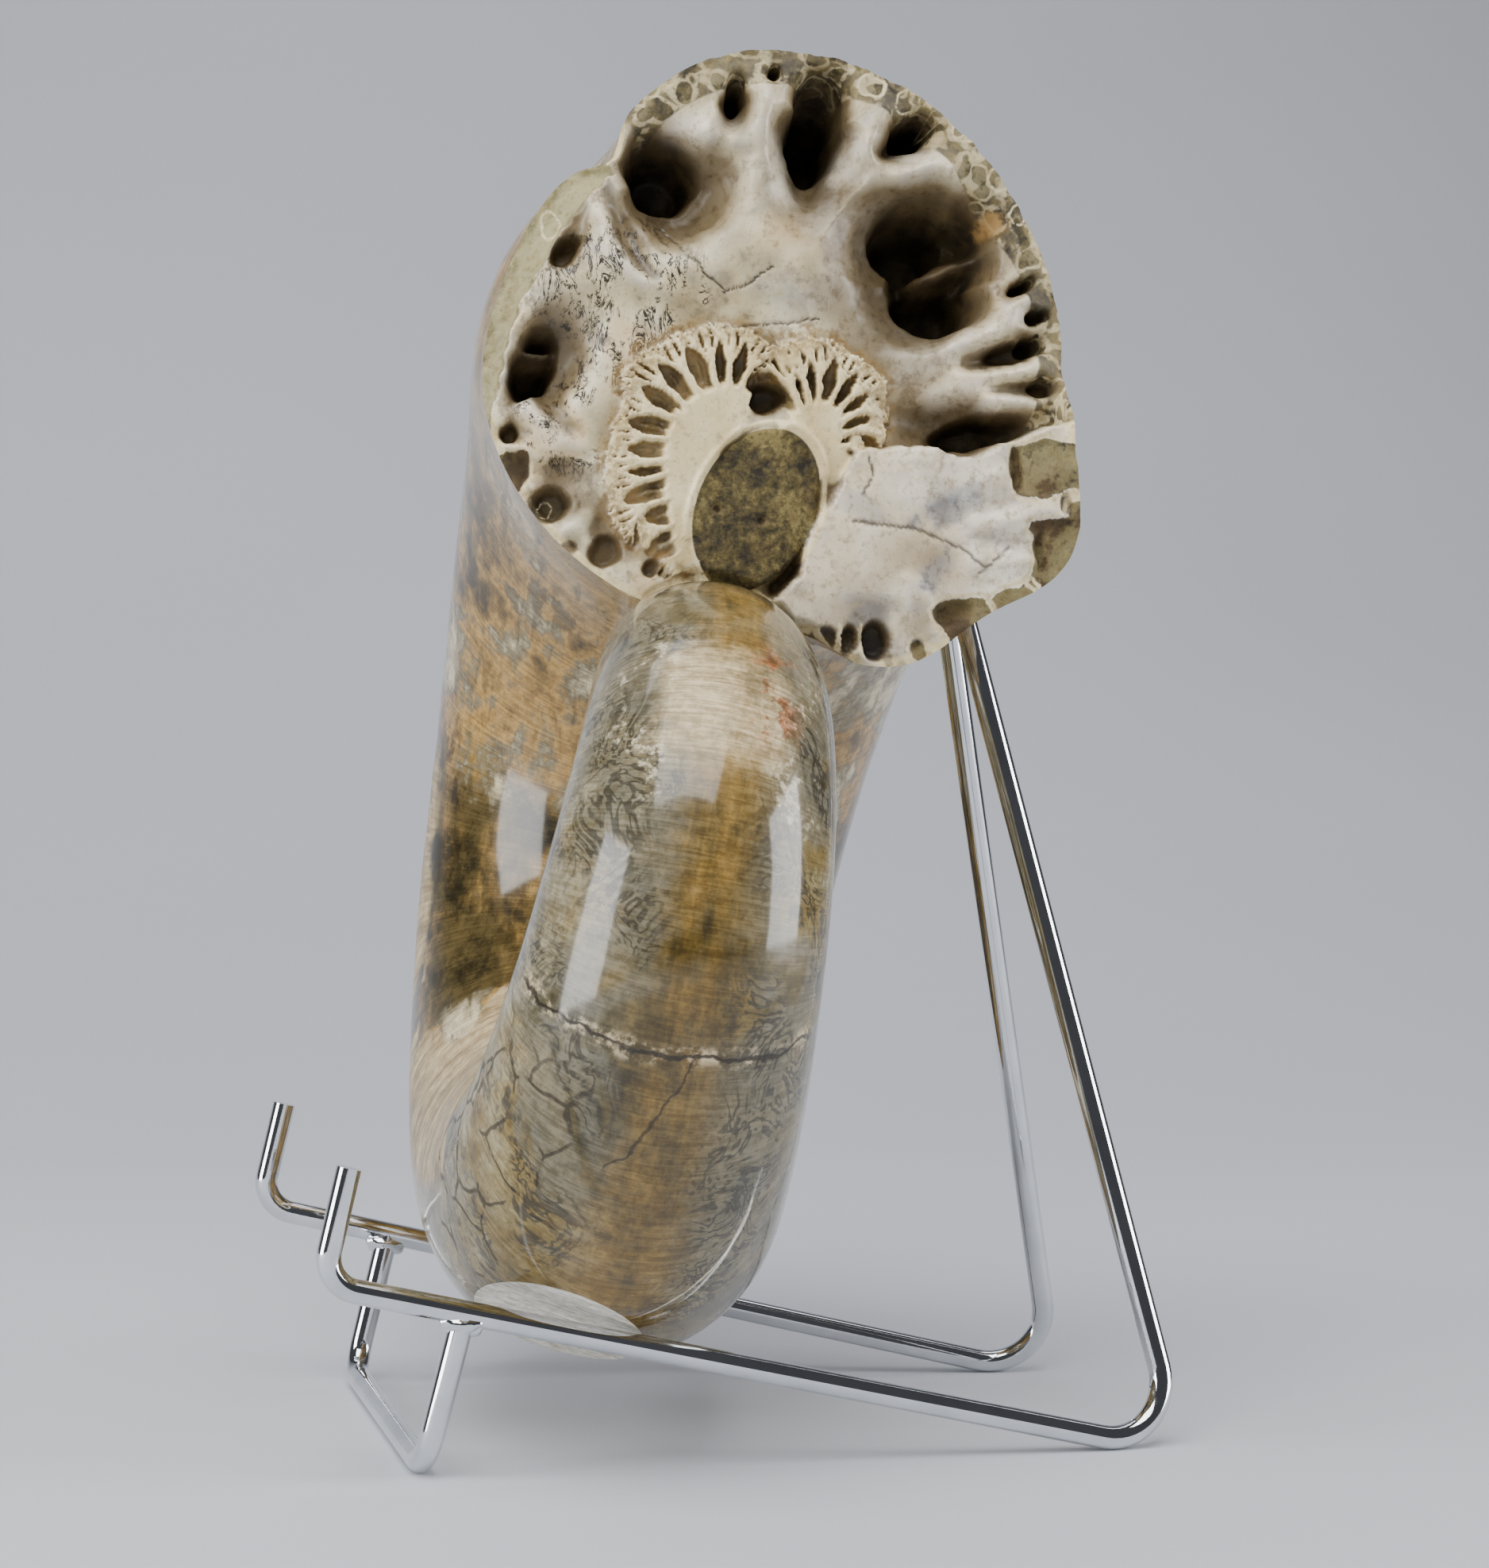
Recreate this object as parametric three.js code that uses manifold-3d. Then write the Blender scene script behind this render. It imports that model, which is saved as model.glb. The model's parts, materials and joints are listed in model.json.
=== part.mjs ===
// A fossil ammonite with a broken end that bares a folded septum, resting on a chrome wire easel.
// Millimetres, +Z up. Working frame: X runs across the easel, Y from its hooks (0) to its rear bends,
// Z up from the surface it stands on. The whole group is then moved so that the origin lies at the
// bottom centre of its box.
import * as THREE from "three";
import { mergeVertices } from "three/addons/utils/BufferGeometryUtils.js";
import Module from "manifold-3d";

// Easel: one continuous bent wire, and a U-shaped front foot welded under its two rails.
const WIRE_D = 5;
const WIRE_SIDES = 12;
const RAIL_SPACING_FRONT = 112;
const RAIL_SPACING_REAR = 88;
const RAIL_LENGTH_Y = 183;
const HOOK_CORNER_Z = 39.8;
const REAR_CORNER_Z = -1.21;
const HOOK_LENGTH = 23.5;
const HOOK_BEND_R = 7;
const REAR_BEND_R = 12;
const APEX_Z = 178.6;
const APEX_Y = 142.2;
const APEX_SPACING = 10.8;
const APEX_BEND_R = 4.8;
const FOOT_WELD_Y = 28.6;
const FOOT_SPACING = 105.5;
const FOOT_LEAN_Y = 7.3;
const FOOT_BEND_R = 8;
const WELD_GAP = 0.35;
const BEND_STEP = THREE.MathUtils.degToRad(18);

// Coil: a logarithmic spiral of an oval whorl. Angles run from 0 at the broken end back into the coil.
const WHORL_GROWTH = 2.8;
const COIL_R = 113.4;
const WHORL_HALF_WIDTH = 62.2;
const WHORL_HEIGHT_RATIO = 0.963;
const TURNS = 3;
const ROWS_PER_TURN = 44;
const FLANK_COLUMNS = 7;
const VENTER_COLUMNS = 10;
const COIL_CENTRE = new THREE.Vector3(17.9, 75.6, 118.1);
const LEAN_DEG = 10.2;
const TURN_DEG = 6.8;
const ROLL_DEG = 4.1;
const UMBILICUS_SINK = 1.2;

// Broken end. Bearings run from the venter (0, outward) towards the rear flank (90), in degrees.
// The rim swells where a shelf of the next chamber remains, and is worn back at the front shoulder.
const RIM_SWELLS = [
  { bearing: 118, spread: 11, by: 14 },
  { bearing: 147, spread: 11, by: 12 },
  { bearing: 50, spread: 22, by: -2.2 },
  { bearing: -78, spread: 20, by: -5.2 },
  { bearing: -46, spread: 13, by: -4.5 },
  { bearing: -50, spread: 3.5, by: -4 },
];
const RIM_SWELL_ARC_DEG = 19;
const NEXT_CHAMBER = { from: 90, to: 170, fade: 7, ahead: 11 };
const WORN_SHOULDER = { from: -110, to: -48, fade: 9, ahead: -9 };
const LAST_WHORL_ROW_DEG = -8;
const FACE_RINGS = 26;
const FACE_RIM_POINTS = 132;
const FACE_DOME = 3;
const RIM_BLEND_FROM = 0.95;
const WORN_FROM = 0.8;

// Tunnels of the folded septum: place across (p) and outward (q), half sizes, turn, depth. Each has
// a steep wall between two shares of its half size, and a soft mouth that takes part of its depth.
const TUNNEL_WALL = { from: 0.55, to: 1.1 };
const TUNNEL_MOUTH = 0.18;
const TUNNELS = [
  { p: -30.4, q: 31.6, a: 8.5, b: 7.5, turn: 20, depth: 17 },
  { p: 0.4, q: 48.5, a: 5.8, b: 9, turn: 5, depth: 18 },
  { p: -17.6, q: 50.6, a: 2.6, b: 3.8, turn: 0, depth: 8 },
  { p: 20.3, q: 49.6, a: 4, b: 3.4, turn: -30, depth: 9 },
  { p: 31.5, q: 25, a: 11.5, b: 15, turn: -28, depth: 20 },
  { p: 49.5, q: 10, a: 5.5, b: 3.8, turn: 15, depth: 10 },
  { p: 54.5, q: 2.6, a: 3.8, b: 3, turn: 10, depth: 8 },
  { p: 44, q: -7.5, a: 14, b: 5.2, turn: 8, depth: 14 },
  { p: -47.5, q: -12.5, a: 6.8, b: 9, turn: -8, depth: 15 },
  { p: -40.2, q: -41.6, a: 5.2, b: 4.4, turn: 30, depth: 8 },
  { p: -25.7, q: -48.6, a: 3.4, b: 3.2, turn: 0, depth: 8 },
  { p: -45.4, q: 10.3, a: 3.2, b: 4.6, turn: -30, depth: 6 },
];
// The frilled lobe of the next septum, left stuck on the face as two fans round a plug of rock.
const FANS = [
  { p: -9, q: -29, inner: 7, outer: 21, from: -150, to: 25 },
  { p: 13, q: -21, inner: 5, outer: 16.5, from: -45, to: 95 },
];
const FAN_HEIGHT = 2.6;
const FAN_FRILLS = 15;
const FAN_SLOTS = { from: 0.15, to: 0.5 };
const FAN_FADE = { side: 6, tip: 2 };
const PLUG = { p: 3, q: -33, a: 12.5, b: 17, turn: -12, height: 4.5, edge: 0.1 };
// The shelf: what remains of the next chamber, with its broken edges towards the plug and the tunnels.
const SHELF_EDGE = [
  [8, -62],
  [15, -45],
  [20.5, -18.5],
  [66, -7],
];
const SHELF_HEIGHT = 9;
const SHELF_EDGE_SLOPE = 1.2;
const SHELF_TUNNELS = [
  { p: 32, q: -57, a: 4.2, b: 4.6, turn: 0, depth: 9 },
  { p: 24.5, q: -58, a: 3, b: 3.4, turn: 10, depth: 6 },
  { p: 47, q: -48.5, a: 5, b: 4.6, turn: 35, depth: 6 },
  { p: 59, q: -16.5, a: 5, b: 5.5, turn: 0, depth: 5 },
];

// Ground flat on the underside that sits on one rail.
const FLAT = { across: 51.4, along: 39.5, up: 39, tilt: 17, slew: 22.2, size: 70 };

const CHROME = { color: 0xd4d6d8, roughness: 0.08, metalness: 1 };
const FOSSIL = { color: 0xa88f6a, roughness: 0.35, metalness: 0 };

const rad = THREE.MathUtils.degToRad;
const wasm = await Module();
wasm.setup();

function toSolid(geometry) {
  const bare = new THREE.BufferGeometry();
  bare.setAttribute("position", geometry.getAttribute("position"));
  bare.setIndex(geometry.getIndex());
  const merged = mergeVertices(bare, 1e-4);
  return new wasm.Manifold(
    new wasm.Mesh({
      numProp: 3,
      vertProperties: new Float32Array(merged.getAttribute("position").array),
      triVerts: new Uint32Array(merged.getIndex().array),
    }),
  );
}

function toGeometry(solid) {
  const mesh = solid.getMesh();
  const geometry = new THREE.BufferGeometry();
  geometry.setAttribute("position", new THREE.BufferAttribute(mesh.vertProperties, 3));
  geometry.setIndex(new THREE.BufferAttribute(mesh.triVerts, 1));
  geometry.computeVertexNormals();
  return geometry;
}

function namedMesh(name, geometry, finish) {
  const mesh = new THREE.Mesh(geometry, new THREE.MeshStandardMaterial(finish));
  mesh.name = name;
  return mesh;
}

// A wire's centre line: straight runs between corners, each corner rounded by an arc of its own radius.
class BentWire extends THREE.Curve {
  constructor(corners, radii) {
    super();
    this.stations = [];
    const last = corners.length - 1;
    corners.forEach((corner, i) => {
      if (i === 0 || i === last) {
        const inner = corners[i === 0 ? 1 : last - 1];
        const along = i === 0 ? inner.clone().sub(corner) : corner.clone().sub(inner);
        this.stations.push({ point: corner.clone(), tangent: along.normalize() });
        return;
      }
      const into = corner.clone().sub(corners[i - 1]).normalize();
      const out = corners[i + 1].clone().sub(corner).normalize();
      const bend = into.angleTo(out);
      const radius = radii[i - 1];
      const start = corner.clone().addScaledVector(into, -radius * Math.tan(bend / 2));
      const axis = into.clone().cross(out).normalize();
      const centre = start.clone().addScaledVector(axis.clone().cross(into), radius);
      const steps = Math.max(3, Math.ceil(bend / BEND_STEP));
      for (let k = 0; k <= steps; k++) {
        const turn = (bend * k) / steps;
        const arm = start.clone().sub(centre).applyAxisAngle(axis, turn);
        this.stations.push({
          point: centre.clone().add(arm),
          tangent: into.clone().applyAxisAngle(axis, turn),
        });
      }
    });
  }

  getPoint(t) {
    const at = t * (this.stations.length - 1);
    const i = Math.min(Math.floor(at), this.stations.length - 2);
    return this.stations[i].point.clone().lerp(this.stations[i + 1].point, at - i);
  }

  // The section stands at every station, so straight runs stay long and bends stay fine.
  getSpacedPoints() {
    return this.stations.map((station) => station.point.clone());
  }

  getTangentAt(u) {
    return this.stations[Math.round(u * (this.stations.length - 1))].tangent.clone();
  }
}

// The section's flats lie at the wire's diameter, turned so that the foot can have one facing down.
function wireGeometry(corners, radii, sectionTurn = 0) {
  const path = new BentWire(corners, radii);
  const section = new THREE.Shape();
  const toCorner = WIRE_D / 2 / Math.cos(Math.PI / WIRE_SIDES);
  for (let k = 0; k < WIRE_SIDES; k++) {
    const turn = (2 * Math.PI * (k + 0.5)) / WIRE_SIDES + sectionTurn;
    const point = [toCorner * Math.cos(turn), toCorner * Math.sin(turn)];
    if (k === 0) section.moveTo(...point);
    else section.lineTo(...point);
  }
  return new THREE.ExtrudeGeometry(section, {
    steps: path.stations.length - 1,
    extrudePath: path,
    bevelEnabled: false,
  });
}

// Easel wire: hook, rail, rear bend, riser, tight bend at the top, and back down the other side.
function easelWire() {
  const halfSide = (side) => {
    const hookCorner = new THREE.Vector3((side * RAIL_SPACING_FRONT) / 2, 0, HOOK_CORNER_Z);
    const rearCorner = new THREE.Vector3((side * RAIL_SPACING_REAR) / 2, RAIL_LENGTH_Y, REAR_CORNER_Z);
    const slope = Math.atan2(HOOK_CORNER_Z - REAR_CORNER_Z, RAIL_LENGTH_Y);
    const hookTop = hookCorner.clone();
    hookTop.add(new THREE.Vector3(0, Math.sin(slope), Math.cos(slope)).multiplyScalar(HOOK_LENGTH));
    const apex = new THREE.Vector3((side * APEX_SPACING) / 2, APEX_Y, APEX_Z);
    return [hookTop, hookCorner, rearCorner, apex];
  };
  const corners = [...halfSide(1), ...halfSide(-1).reverse()];
  const radii = [HOOK_BEND_R, REAR_BEND_R, APEX_BEND_R, APEX_BEND_R, REAR_BEND_R, HOOK_BEND_R];
  return wireGeometry(corners, radii);
}

// Front foot: a U of the same wire, its two ends set under the rails, a hair short of touching.
function frontFoot() {
  const share = FOOT_WELD_Y / RAIL_LENGTH_Y;
  const railZ = THREE.MathUtils.lerp(HOOK_CORNER_Z, REAR_CORNER_Z, share);
  const railX = THREE.MathUtils.lerp(RAIL_SPACING_FRONT, RAIL_SPACING_REAR, share) / 2;
  const leg = (side) => {
    const onRail = new THREE.Vector3(side * railX, FOOT_WELD_Y, railZ);
    const corner = new THREE.Vector3((side * FOOT_SPACING) / 2, FOOT_WELD_Y - FOOT_LEAN_Y, WIRE_D / 2);
    const down = corner.clone().sub(onRail).normalize();
    const top = onRail.addScaledVector(down, WIRE_D / 2 + WELD_GAP);
    return [top, corner];
  };
  const lean = Math.atan2(-FOOT_LEAN_Y, railZ - WIRE_D / 2);
  return wireGeometry([...leg(1), ...leg(-1).reverse()], [FOOT_BEND_R, FOOT_BEND_R], lean);
}

const growth = (turn) => WHORL_GROWTH ** (turn / (2 * Math.PI));
const bell = (x, centre, spread) => Math.exp(-0.5 * ((x - centre) / spread) ** 2);
const rise = (x, from, to) => THREE.MathUtils.smoothstep(x, from, to);
const band = (x, { from, to, fade }) =>
  rise(x, from - fade, from + fade) * (1 - rise(x, to - fade, to + fade));

// Where neighbouring whorls meet, as angles round the section: the seam an outer whorl makes near its
// dorsum, and the seam an inner whorl shows beside its venter. Both are the same all along the spiral.
function seamAngles() {
  const inner = WHORL_HALF_WIDTH / WHORL_GROWTH;
  const apart = (COIL_R / WHORL_HEIGHT_RATIO) * (1 - 1 / WHORL_GROWTH);
  const reach = (apart ** 2 + WHORL_HALF_WIDTH ** 2 - inner ** 2) / (2 * apart);
  const dorsal = Math.PI - Math.acos(reach / WHORL_HALF_WIDTH);
  return { dorsal, ventral: Math.acos((apart - reach) / inner) };
}
const SEAM = seamAngles();

const swellAt = (bearing) =>
  RIM_SWELLS.reduce((sum, s) => sum + s.by * bell(bearing, s.bearing, s.spread), 0);

// A point of the coil's own frame: turn along the spiral, p across the whorl, q outward from its centre.
function spiralPoint(turn, p, q) {
  const size = growth(turn);
  const out = (COIL_R + q) * size;
  return new THREE.Vector3(out * Math.sin(turn), p * size, out * Math.cos(turn));
}

// A point of the whorl's surface; the rim's swells fade in over the last stretch before the broken end.
function whorlPoint(turn, around) {
  const bearing = THREE.MathUtils.radToDeg(around);
  const near = rise(THREE.MathUtils.radToDeg(turn), -RIM_SWELL_ARC_DEG, 0);
  const out = WHORL_HALF_WIDTH + near * swellAt(bearing);
  return spiralPoint(turn, out * Math.sin(around), out * WHORL_HEIGHT_RATIO * Math.cos(around));
}

const outlineRadius = (bearing) => {
  const around = rad(bearing);
  const c = WHORL_HEIGHT_RATIO * Math.cos(around);
  const whorl = (WHORL_HALF_WIDTH + swellAt(bearing)) * Math.hypot(Math.sin(around), c);
  // Below, the face ends on the venter of the whorl one turn further in.
  const inner = WHORL_HALF_WIDTH / WHORL_GROWTH;
  const apart = COIL_R * (1 - 1 / WHORL_GROWTH);
  const [p, q] = [Math.sin(around), Math.cos(around)];
  const b = q * apart;
  const ratio = WHORL_HEIGHT_RATIO ** 2;
  const quad = p * p * ratio + q * q;
  const disc = b * b - quad * (apart * apart - inner * inner * ratio);
  if (disc < 0 || b > 0) return whorl;
  return Math.min(whorl, (-b - Math.sqrt(disc)) / quad);
};

const ovalDistance = (p, q, oval) => {
  const [c, s] = [Math.cos(rad(oval.turn)), Math.sin(rad(oval.turn))];
  const [x, y] = [p - oval.p, q - oval.q];
  return Math.hypot((x * c + y * s) / oval.a, (y * c - x * s) / oval.b);
};
const tunnelDepth = (p, q, oval) => {
  const d = ovalDistance(p, q, oval);
  const wall = 1 - rise(d, TUNNEL_WALL.from, TUNNEL_WALL.to);
  return oval.depth * THREE.MathUtils.lerp(wall, bell(d, 0, 1), TUNNEL_MOUTH);
};

// Distance inside the shelf's broken edges, negative off the shelf.
function onShelf(p, q) {
  let inside = Infinity;
  for (let i = 0; i + 1 < SHELF_EDGE.length; i++) {
    const [a, b] = [SHELF_EDGE[i], SHELF_EDGE[i + 1]];
    const [ex, ey] = [b[0] - a[0], b[1] - a[1]];
    const side = ((p - a[0]) * ey - (q - a[1]) * ex) / Math.hypot(ex, ey);
    inside = Math.min(inside, side);
  }
  return inside;
}

function fanHeight(p, q, fan) {
  const [x, y] = [p - fan.p, q - fan.q];
  const reach = Math.hypot(x, y);
  const bearing = THREE.MathUtils.radToDeg(Math.atan2(x, y));
  const within = band(bearing, { from: fan.from, to: fan.to, fade: FAN_FADE.side });
  const share = (reach - fan.inner) / (fan.outer - fan.inner);
  const sweep = (bearing - fan.from) / (fan.to - fan.from);
  const frill = 0.5 + 0.5 * Math.cos(sweep * FAN_FRILLS * 2 * Math.PI);
  const slots = 1 - rise(share, FAN_SLOTS.from, FAN_SLOTS.to) * (1 - frill);
  return FAN_HEIGHT * within * slots * (1 - rise(reach, fan.outer - FAN_FADE.tip, fan.outer));
}

// Height of the broken face along the spiral, ahead of the plane of the break.
function faceHeight(p, q, share, bearing) {
  const dome = FACE_DOME * (1 - share * share);
  let height = dome;
  for (const fan of FANS) height = Math.max(height, dome + fanHeight(p, q, fan));
  const offPlug = rise(ovalDistance(p, q, PLUG), 1 - PLUG.edge, 1 + PLUG.edge);
  height = THREE.MathUtils.lerp(PLUG.height, height, offPlug);
  for (const tunnel of TUNNELS) height -= tunnelDepth(p, q, tunnel);
  height += WORN_SHOULDER.ahead * band(bearing, WORN_SHOULDER) * rise(share, WORN_FROM, 1);
  let shelf = SHELF_HEIGHT + (NEXT_CHAMBER.ahead - SHELF_HEIGHT) * share;
  for (const tunnel of SHELF_TUNNELS) shelf -= tunnelDepth(p, q, tunnel);
  height = THREE.MathUtils.lerp(height, shelf, rise(onShelf(p, q), -SHELF_EDGE_SLOPE, SHELF_EDGE_SLOPE));
  return THREE.MathUtils.lerp(height, rimHeight(bearing), rise(share, RIM_BLEND_FROM, 1));
}

const rimHeight = (bearing) =>
  NEXT_CHAMBER.ahead * band(bearing, NEXT_CHAMBER) + WORN_SHOULDER.ahead * band(bearing, WORN_SHOULDER);

// Triangles between two closed loops of different counts, each point with its share of the way round.
function stripBetween(outer, inner, faces) {
  let [i, k] = [0, 0];
  const shareOf = (loop, n) => (n < loop.length ? loop[n].share : 1 + loop[n - loop.length].share);
  while (i < outer.length || k < inner.length) {
    const a = outer[i % outer.length].id;
    const b = inner[k % inner.length].id;
    const outerFirst = k >= inner.length || shareOf(outer, i + 1) <= shareOf(inner, k + 1);
    if (i < outer.length && outerFirst) {
      faces.push([a, b, outer[(i + 1) % outer.length].id]);
      i += 1;
    } else {
      faces.push([a, b, inner[(k + 1) % inner.length].id]);
      k += 1;
    }
  }
}

// The fossil as one closed surface: flanks that wind out from the umbilicus, sharing a seam with the
// turn before, the outer turn's venter, and the broken face that closes its end.
function ammoniteGeometry() {
  const points = [];
  const faces = [];
  const addPoint = (v) => points.push(v) - 1;
  const rows = TURNS * ROWS_PER_TURN;
  const turnOf = (row) => (2 * Math.PI * (row - rows)) / ROWS_PER_TURN;
  // The whorl's rows stop short of the break, and a strip to the finer rim closes the rest.
  const lastRow = rows + Math.round((LAST_WHORL_ROW_DEG * ROWS_PER_TURN) / 360);
  const flanks = { "-1": [], 1: [] };
  for (const side of [-1, 1]) {
    for (let row = 0; row <= rows; row++) {
      flanks[side].push([]);
      for (let c = 0; c <= FLANK_COLUMNS; c++) {
        const around = THREE.MathUtils.lerp(SEAM.dorsal, SEAM.ventral, c / FLANK_COLUMNS);
        const shared = c === 0 && row >= ROWS_PER_TURN;
        if (row > lastRow && !shared) flanks[side][row].push(-1);
        else if (shared) flanks[side][row].push(flanks[side][row - ROWS_PER_TURN][FLANK_COLUMNS]);
        else flanks[side][row].push(addPoint(whorlPoint(turnOf(row), side * around)));
      }
    }
  }
  const quad = (a, b, c, d, flip) => {
    if (flip) faces.push([a, b, c], [a, c, d]);
    else faces.push([a, c, b], [a, d, c]);
  };
  for (const side of [-1, 1]) {
    for (let row = 0; row < lastRow; row++) {
      for (let c = 0; c < FLANK_COLUMNS; c++) {
        const [here, next] = [flanks[side][row], flanks[side][row + 1]];
        quad(here[c], here[c + 1], next[c + 1], next[c], side > 0);
      }
    }
  }
  // Venter of the outer turn, between the places where a further turn would have met it.
  const firstVenter = rows - ROWS_PER_TURN;
  const venter = [];
  for (let row = firstVenter; row <= lastRow; row++) {
    const line = [flanks[-1][row][FLANK_COLUMNS]];
    for (let c = 1; c < VENTER_COLUMNS; c++) {
      const around = THREE.MathUtils.lerp(-SEAM.ventral, SEAM.ventral, c / VENTER_COLUMNS);
      line.push(addPoint(whorlPoint(turnOf(row), around)));
    }
    line.push(flanks[1][row][FLANK_COLUMNS]);
    venter.push(line);
  }
  for (let row = 0; row + 1 < venter.length; row++) {
    for (let c = 0; c < VENTER_COLUMNS; c++) {
      quad(venter[row][c], venter[row][c + 1], venter[row + 1][c + 1], venter[row + 1][c], false);
    }
  }
  // Umbilicus: each side closes on a point of the axis, sunk a little below the first whorl.
  for (const side of [-1, 1]) {
    const first = flanks[side][0];
    const loop = [];
    for (let row = 0; row <= ROWS_PER_TURN; row++) loop.push(flanks[side][row][0]);
    for (let c = FLANK_COLUMNS - 1; c > 0; c--) loop.push(first[c]);
    const centre = addPoint(new THREE.Vector3(0, side * UMBILICUS_SINK, 0));
    loop.forEach((id, n) => {
      const next = loop[(n + 1) % loop.length];
      faces.push(side > 0 ? [centre, id, next] : [centre, next, id]);
    });
  }
  // The whorl's end loop: its last row, then the seams to the break, and the inner turn's venter below.
  const bearingShare = (p, q) => (((Math.atan2(p, q) / (2 * Math.PI)) % 1) + 1) % 1;
  const endLoop = [];
  const toEnd = (id, share) => endLoop.push({ id, share });
  const aroundShare = (around) => bearingShare(Math.sin(around), WHORL_HEIGHT_RATIO * Math.cos(around));
  for (let c = VENTER_COLUMNS / 2; c <= VENTER_COLUMNS; c++) {
    const around = THREE.MathUtils.lerp(-SEAM.ventral, SEAM.ventral, c / VENTER_COLUMNS);
    toEnd(venter[venter.length - 1][c], aroundShare(around));
  }
  for (let c = FLANK_COLUMNS - 1; c >= 0; c--) {
    const around = THREE.MathUtils.lerp(SEAM.dorsal, SEAM.ventral, c / FLANK_COLUMNS);
    toEnd(flanks[1][lastRow][c], aroundShare(around));
  }
  const seamShare = aroundShare(SEAM.dorsal);
  for (let row = lastRow + 1; row <= rows; row++) toEnd(flanks[1][row][0], seamShare);
  for (let c = VENTER_COLUMNS - 1; c > 0; c--) {
    const t = (VENTER_COLUMNS - c) / VENTER_COLUMNS;
    toEnd(venter[0][c], THREE.MathUtils.lerp(seamShare, 1 - seamShare, t));
  }
  for (let row = rows; row > lastRow; row--) toEnd(flanks[-1][row][0], 1 - seamShare);
  for (let c = 0; c < FLANK_COLUMNS; c++) {
    const around = THREE.MathUtils.lerp(SEAM.dorsal, SEAM.ventral, c / FLANK_COLUMNS);
    toEnd(flanks[-1][lastRow][c], 1 - aroundShare(around));
  }
  for (let c = 0; c < VENTER_COLUMNS / 2; c++) {
    const around = THREE.MathUtils.lerp(-SEAM.ventral, SEAM.ventral, c / VENTER_COLUMNS);
    toEnd(venter[venter.length - 1][c], aroundShare(around));
  }
  // The broken face: rings of points, fewer towards the middle, each lifted by the face's height.
  let outer = endLoop;
  for (let n = FACE_RINGS; n >= 0; n--) {
    const reach = n / FACE_RINGS;
    const count = Math.max(1, Math.round(FACE_RIM_POINTS * reach));
    const inner = [];
    for (let k = 0; k < count; k++) {
      const share = k / count;
      const bearing = share > 0.5 ? 360 * share - 360 : 360 * share;
      const out = outlineRadius(bearing) * reach;
      const [p, q] = [out * Math.sin(rad(bearing)), out * Math.cos(rad(bearing))];
      const height = faceHeight(p, q, reach, bearing);
      inner.push({ id: addPoint(spiralPoint(height / COIL_R, p, q)), share });
    }
    stripBetween(outer, inner, faces);
    outer = inner;
  }
  const geometry = new THREE.BufferGeometry();
  const flat = points.flatMap((v) => [v.x, v.y, v.z]);
  geometry.setAttribute("position", new THREE.Float32BufferAttribute(flat, 3));
  geometry.setIndex(faces.filter(([a, b, c]) => a !== b && b !== c && c !== a).flat());
  return geometry;
}

function ammonite() {
  const pose = new THREE.Object3D();
  pose.position.copy(COIL_CENTRE);
  pose.rotation.set(rad(-LEAN_DEG), rad(ROLL_DEG), rad(-TURN_DEG), "XZY");
  pose.updateMatrixWorld();
  const coil = toSolid(ammoniteGeometry().applyMatrix4(pose.matrixWorld));
  const cutter = new THREE.BoxGeometry(FLAT.size, FLAT.size, FLAT.size);
  cutter.translate(0, 0, -FLAT.size / 2);
  const place = new THREE.Object3D();
  place.position.set(FLAT.across, FLAT.along, FLAT.up);
  place.rotation.set(rad(-FLAT.slew), rad(-FLAT.tilt), 0);
  place.updateMatrixWorld();
  return toGeometry(coil.subtract(toSolid(cutter.applyMatrix4(place.matrixWorld))));
}

const display = new THREE.Group();
display.add(namedMesh("ammonite", ammonite(), FOSSIL));
display.add(namedMesh("easel_wire", easelWire(), CHROME));
display.add(namedMesh("front_foot", frontFoot(), CHROME));

const box = new THREE.Box3().setFromObject(display, true);
const middle = box.getCenter(new THREE.Vector3());
display.position.set(-middle.x, -middle.y, -box.min.z);

export default display;
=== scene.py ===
import bmesh
import bpy
import json
import math
import numpy as np
from mathutils import Euler, Matrix, Vector, noise


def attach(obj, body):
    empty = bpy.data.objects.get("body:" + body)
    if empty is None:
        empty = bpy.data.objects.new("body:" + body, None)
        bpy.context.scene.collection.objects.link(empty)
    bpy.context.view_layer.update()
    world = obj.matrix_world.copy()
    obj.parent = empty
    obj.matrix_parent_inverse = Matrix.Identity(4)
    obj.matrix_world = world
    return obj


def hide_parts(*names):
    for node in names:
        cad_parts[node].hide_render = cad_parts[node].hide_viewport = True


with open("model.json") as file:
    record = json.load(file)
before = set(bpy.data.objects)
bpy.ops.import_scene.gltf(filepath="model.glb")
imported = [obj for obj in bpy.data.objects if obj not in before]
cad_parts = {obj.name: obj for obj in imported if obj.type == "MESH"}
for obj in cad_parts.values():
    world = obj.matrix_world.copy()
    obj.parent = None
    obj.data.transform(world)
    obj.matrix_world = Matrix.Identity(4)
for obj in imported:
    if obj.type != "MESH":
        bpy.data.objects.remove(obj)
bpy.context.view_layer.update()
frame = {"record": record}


# Easel wire: one length of round steel wire, bent cold into hooks, rails, rear bends and two risers
# that meet in a tight bend at the top, then chromed. The fossil only rests on it.
MM = 0.001
wire_radius = 2.5
foot_middle = frame["record"]["mounts"][0]["pos_m"]
foot_bar_y = 21.3
easel_origin = Vector((foot_middle[0], foot_middle[1] - foot_bar_y * MM, 0))

rail_half_front, rail_half_rear = 56, 44
rail_length = 183
hook_corner_z, rear_corner_z = 39.8, -1.21
hook_length = 23.5
hook_bend, rear_bend, apex_bend = 7, 12, 4.8
apex_half, apex_y, apex_z = 5.38, 142.2, 178.6


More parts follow.
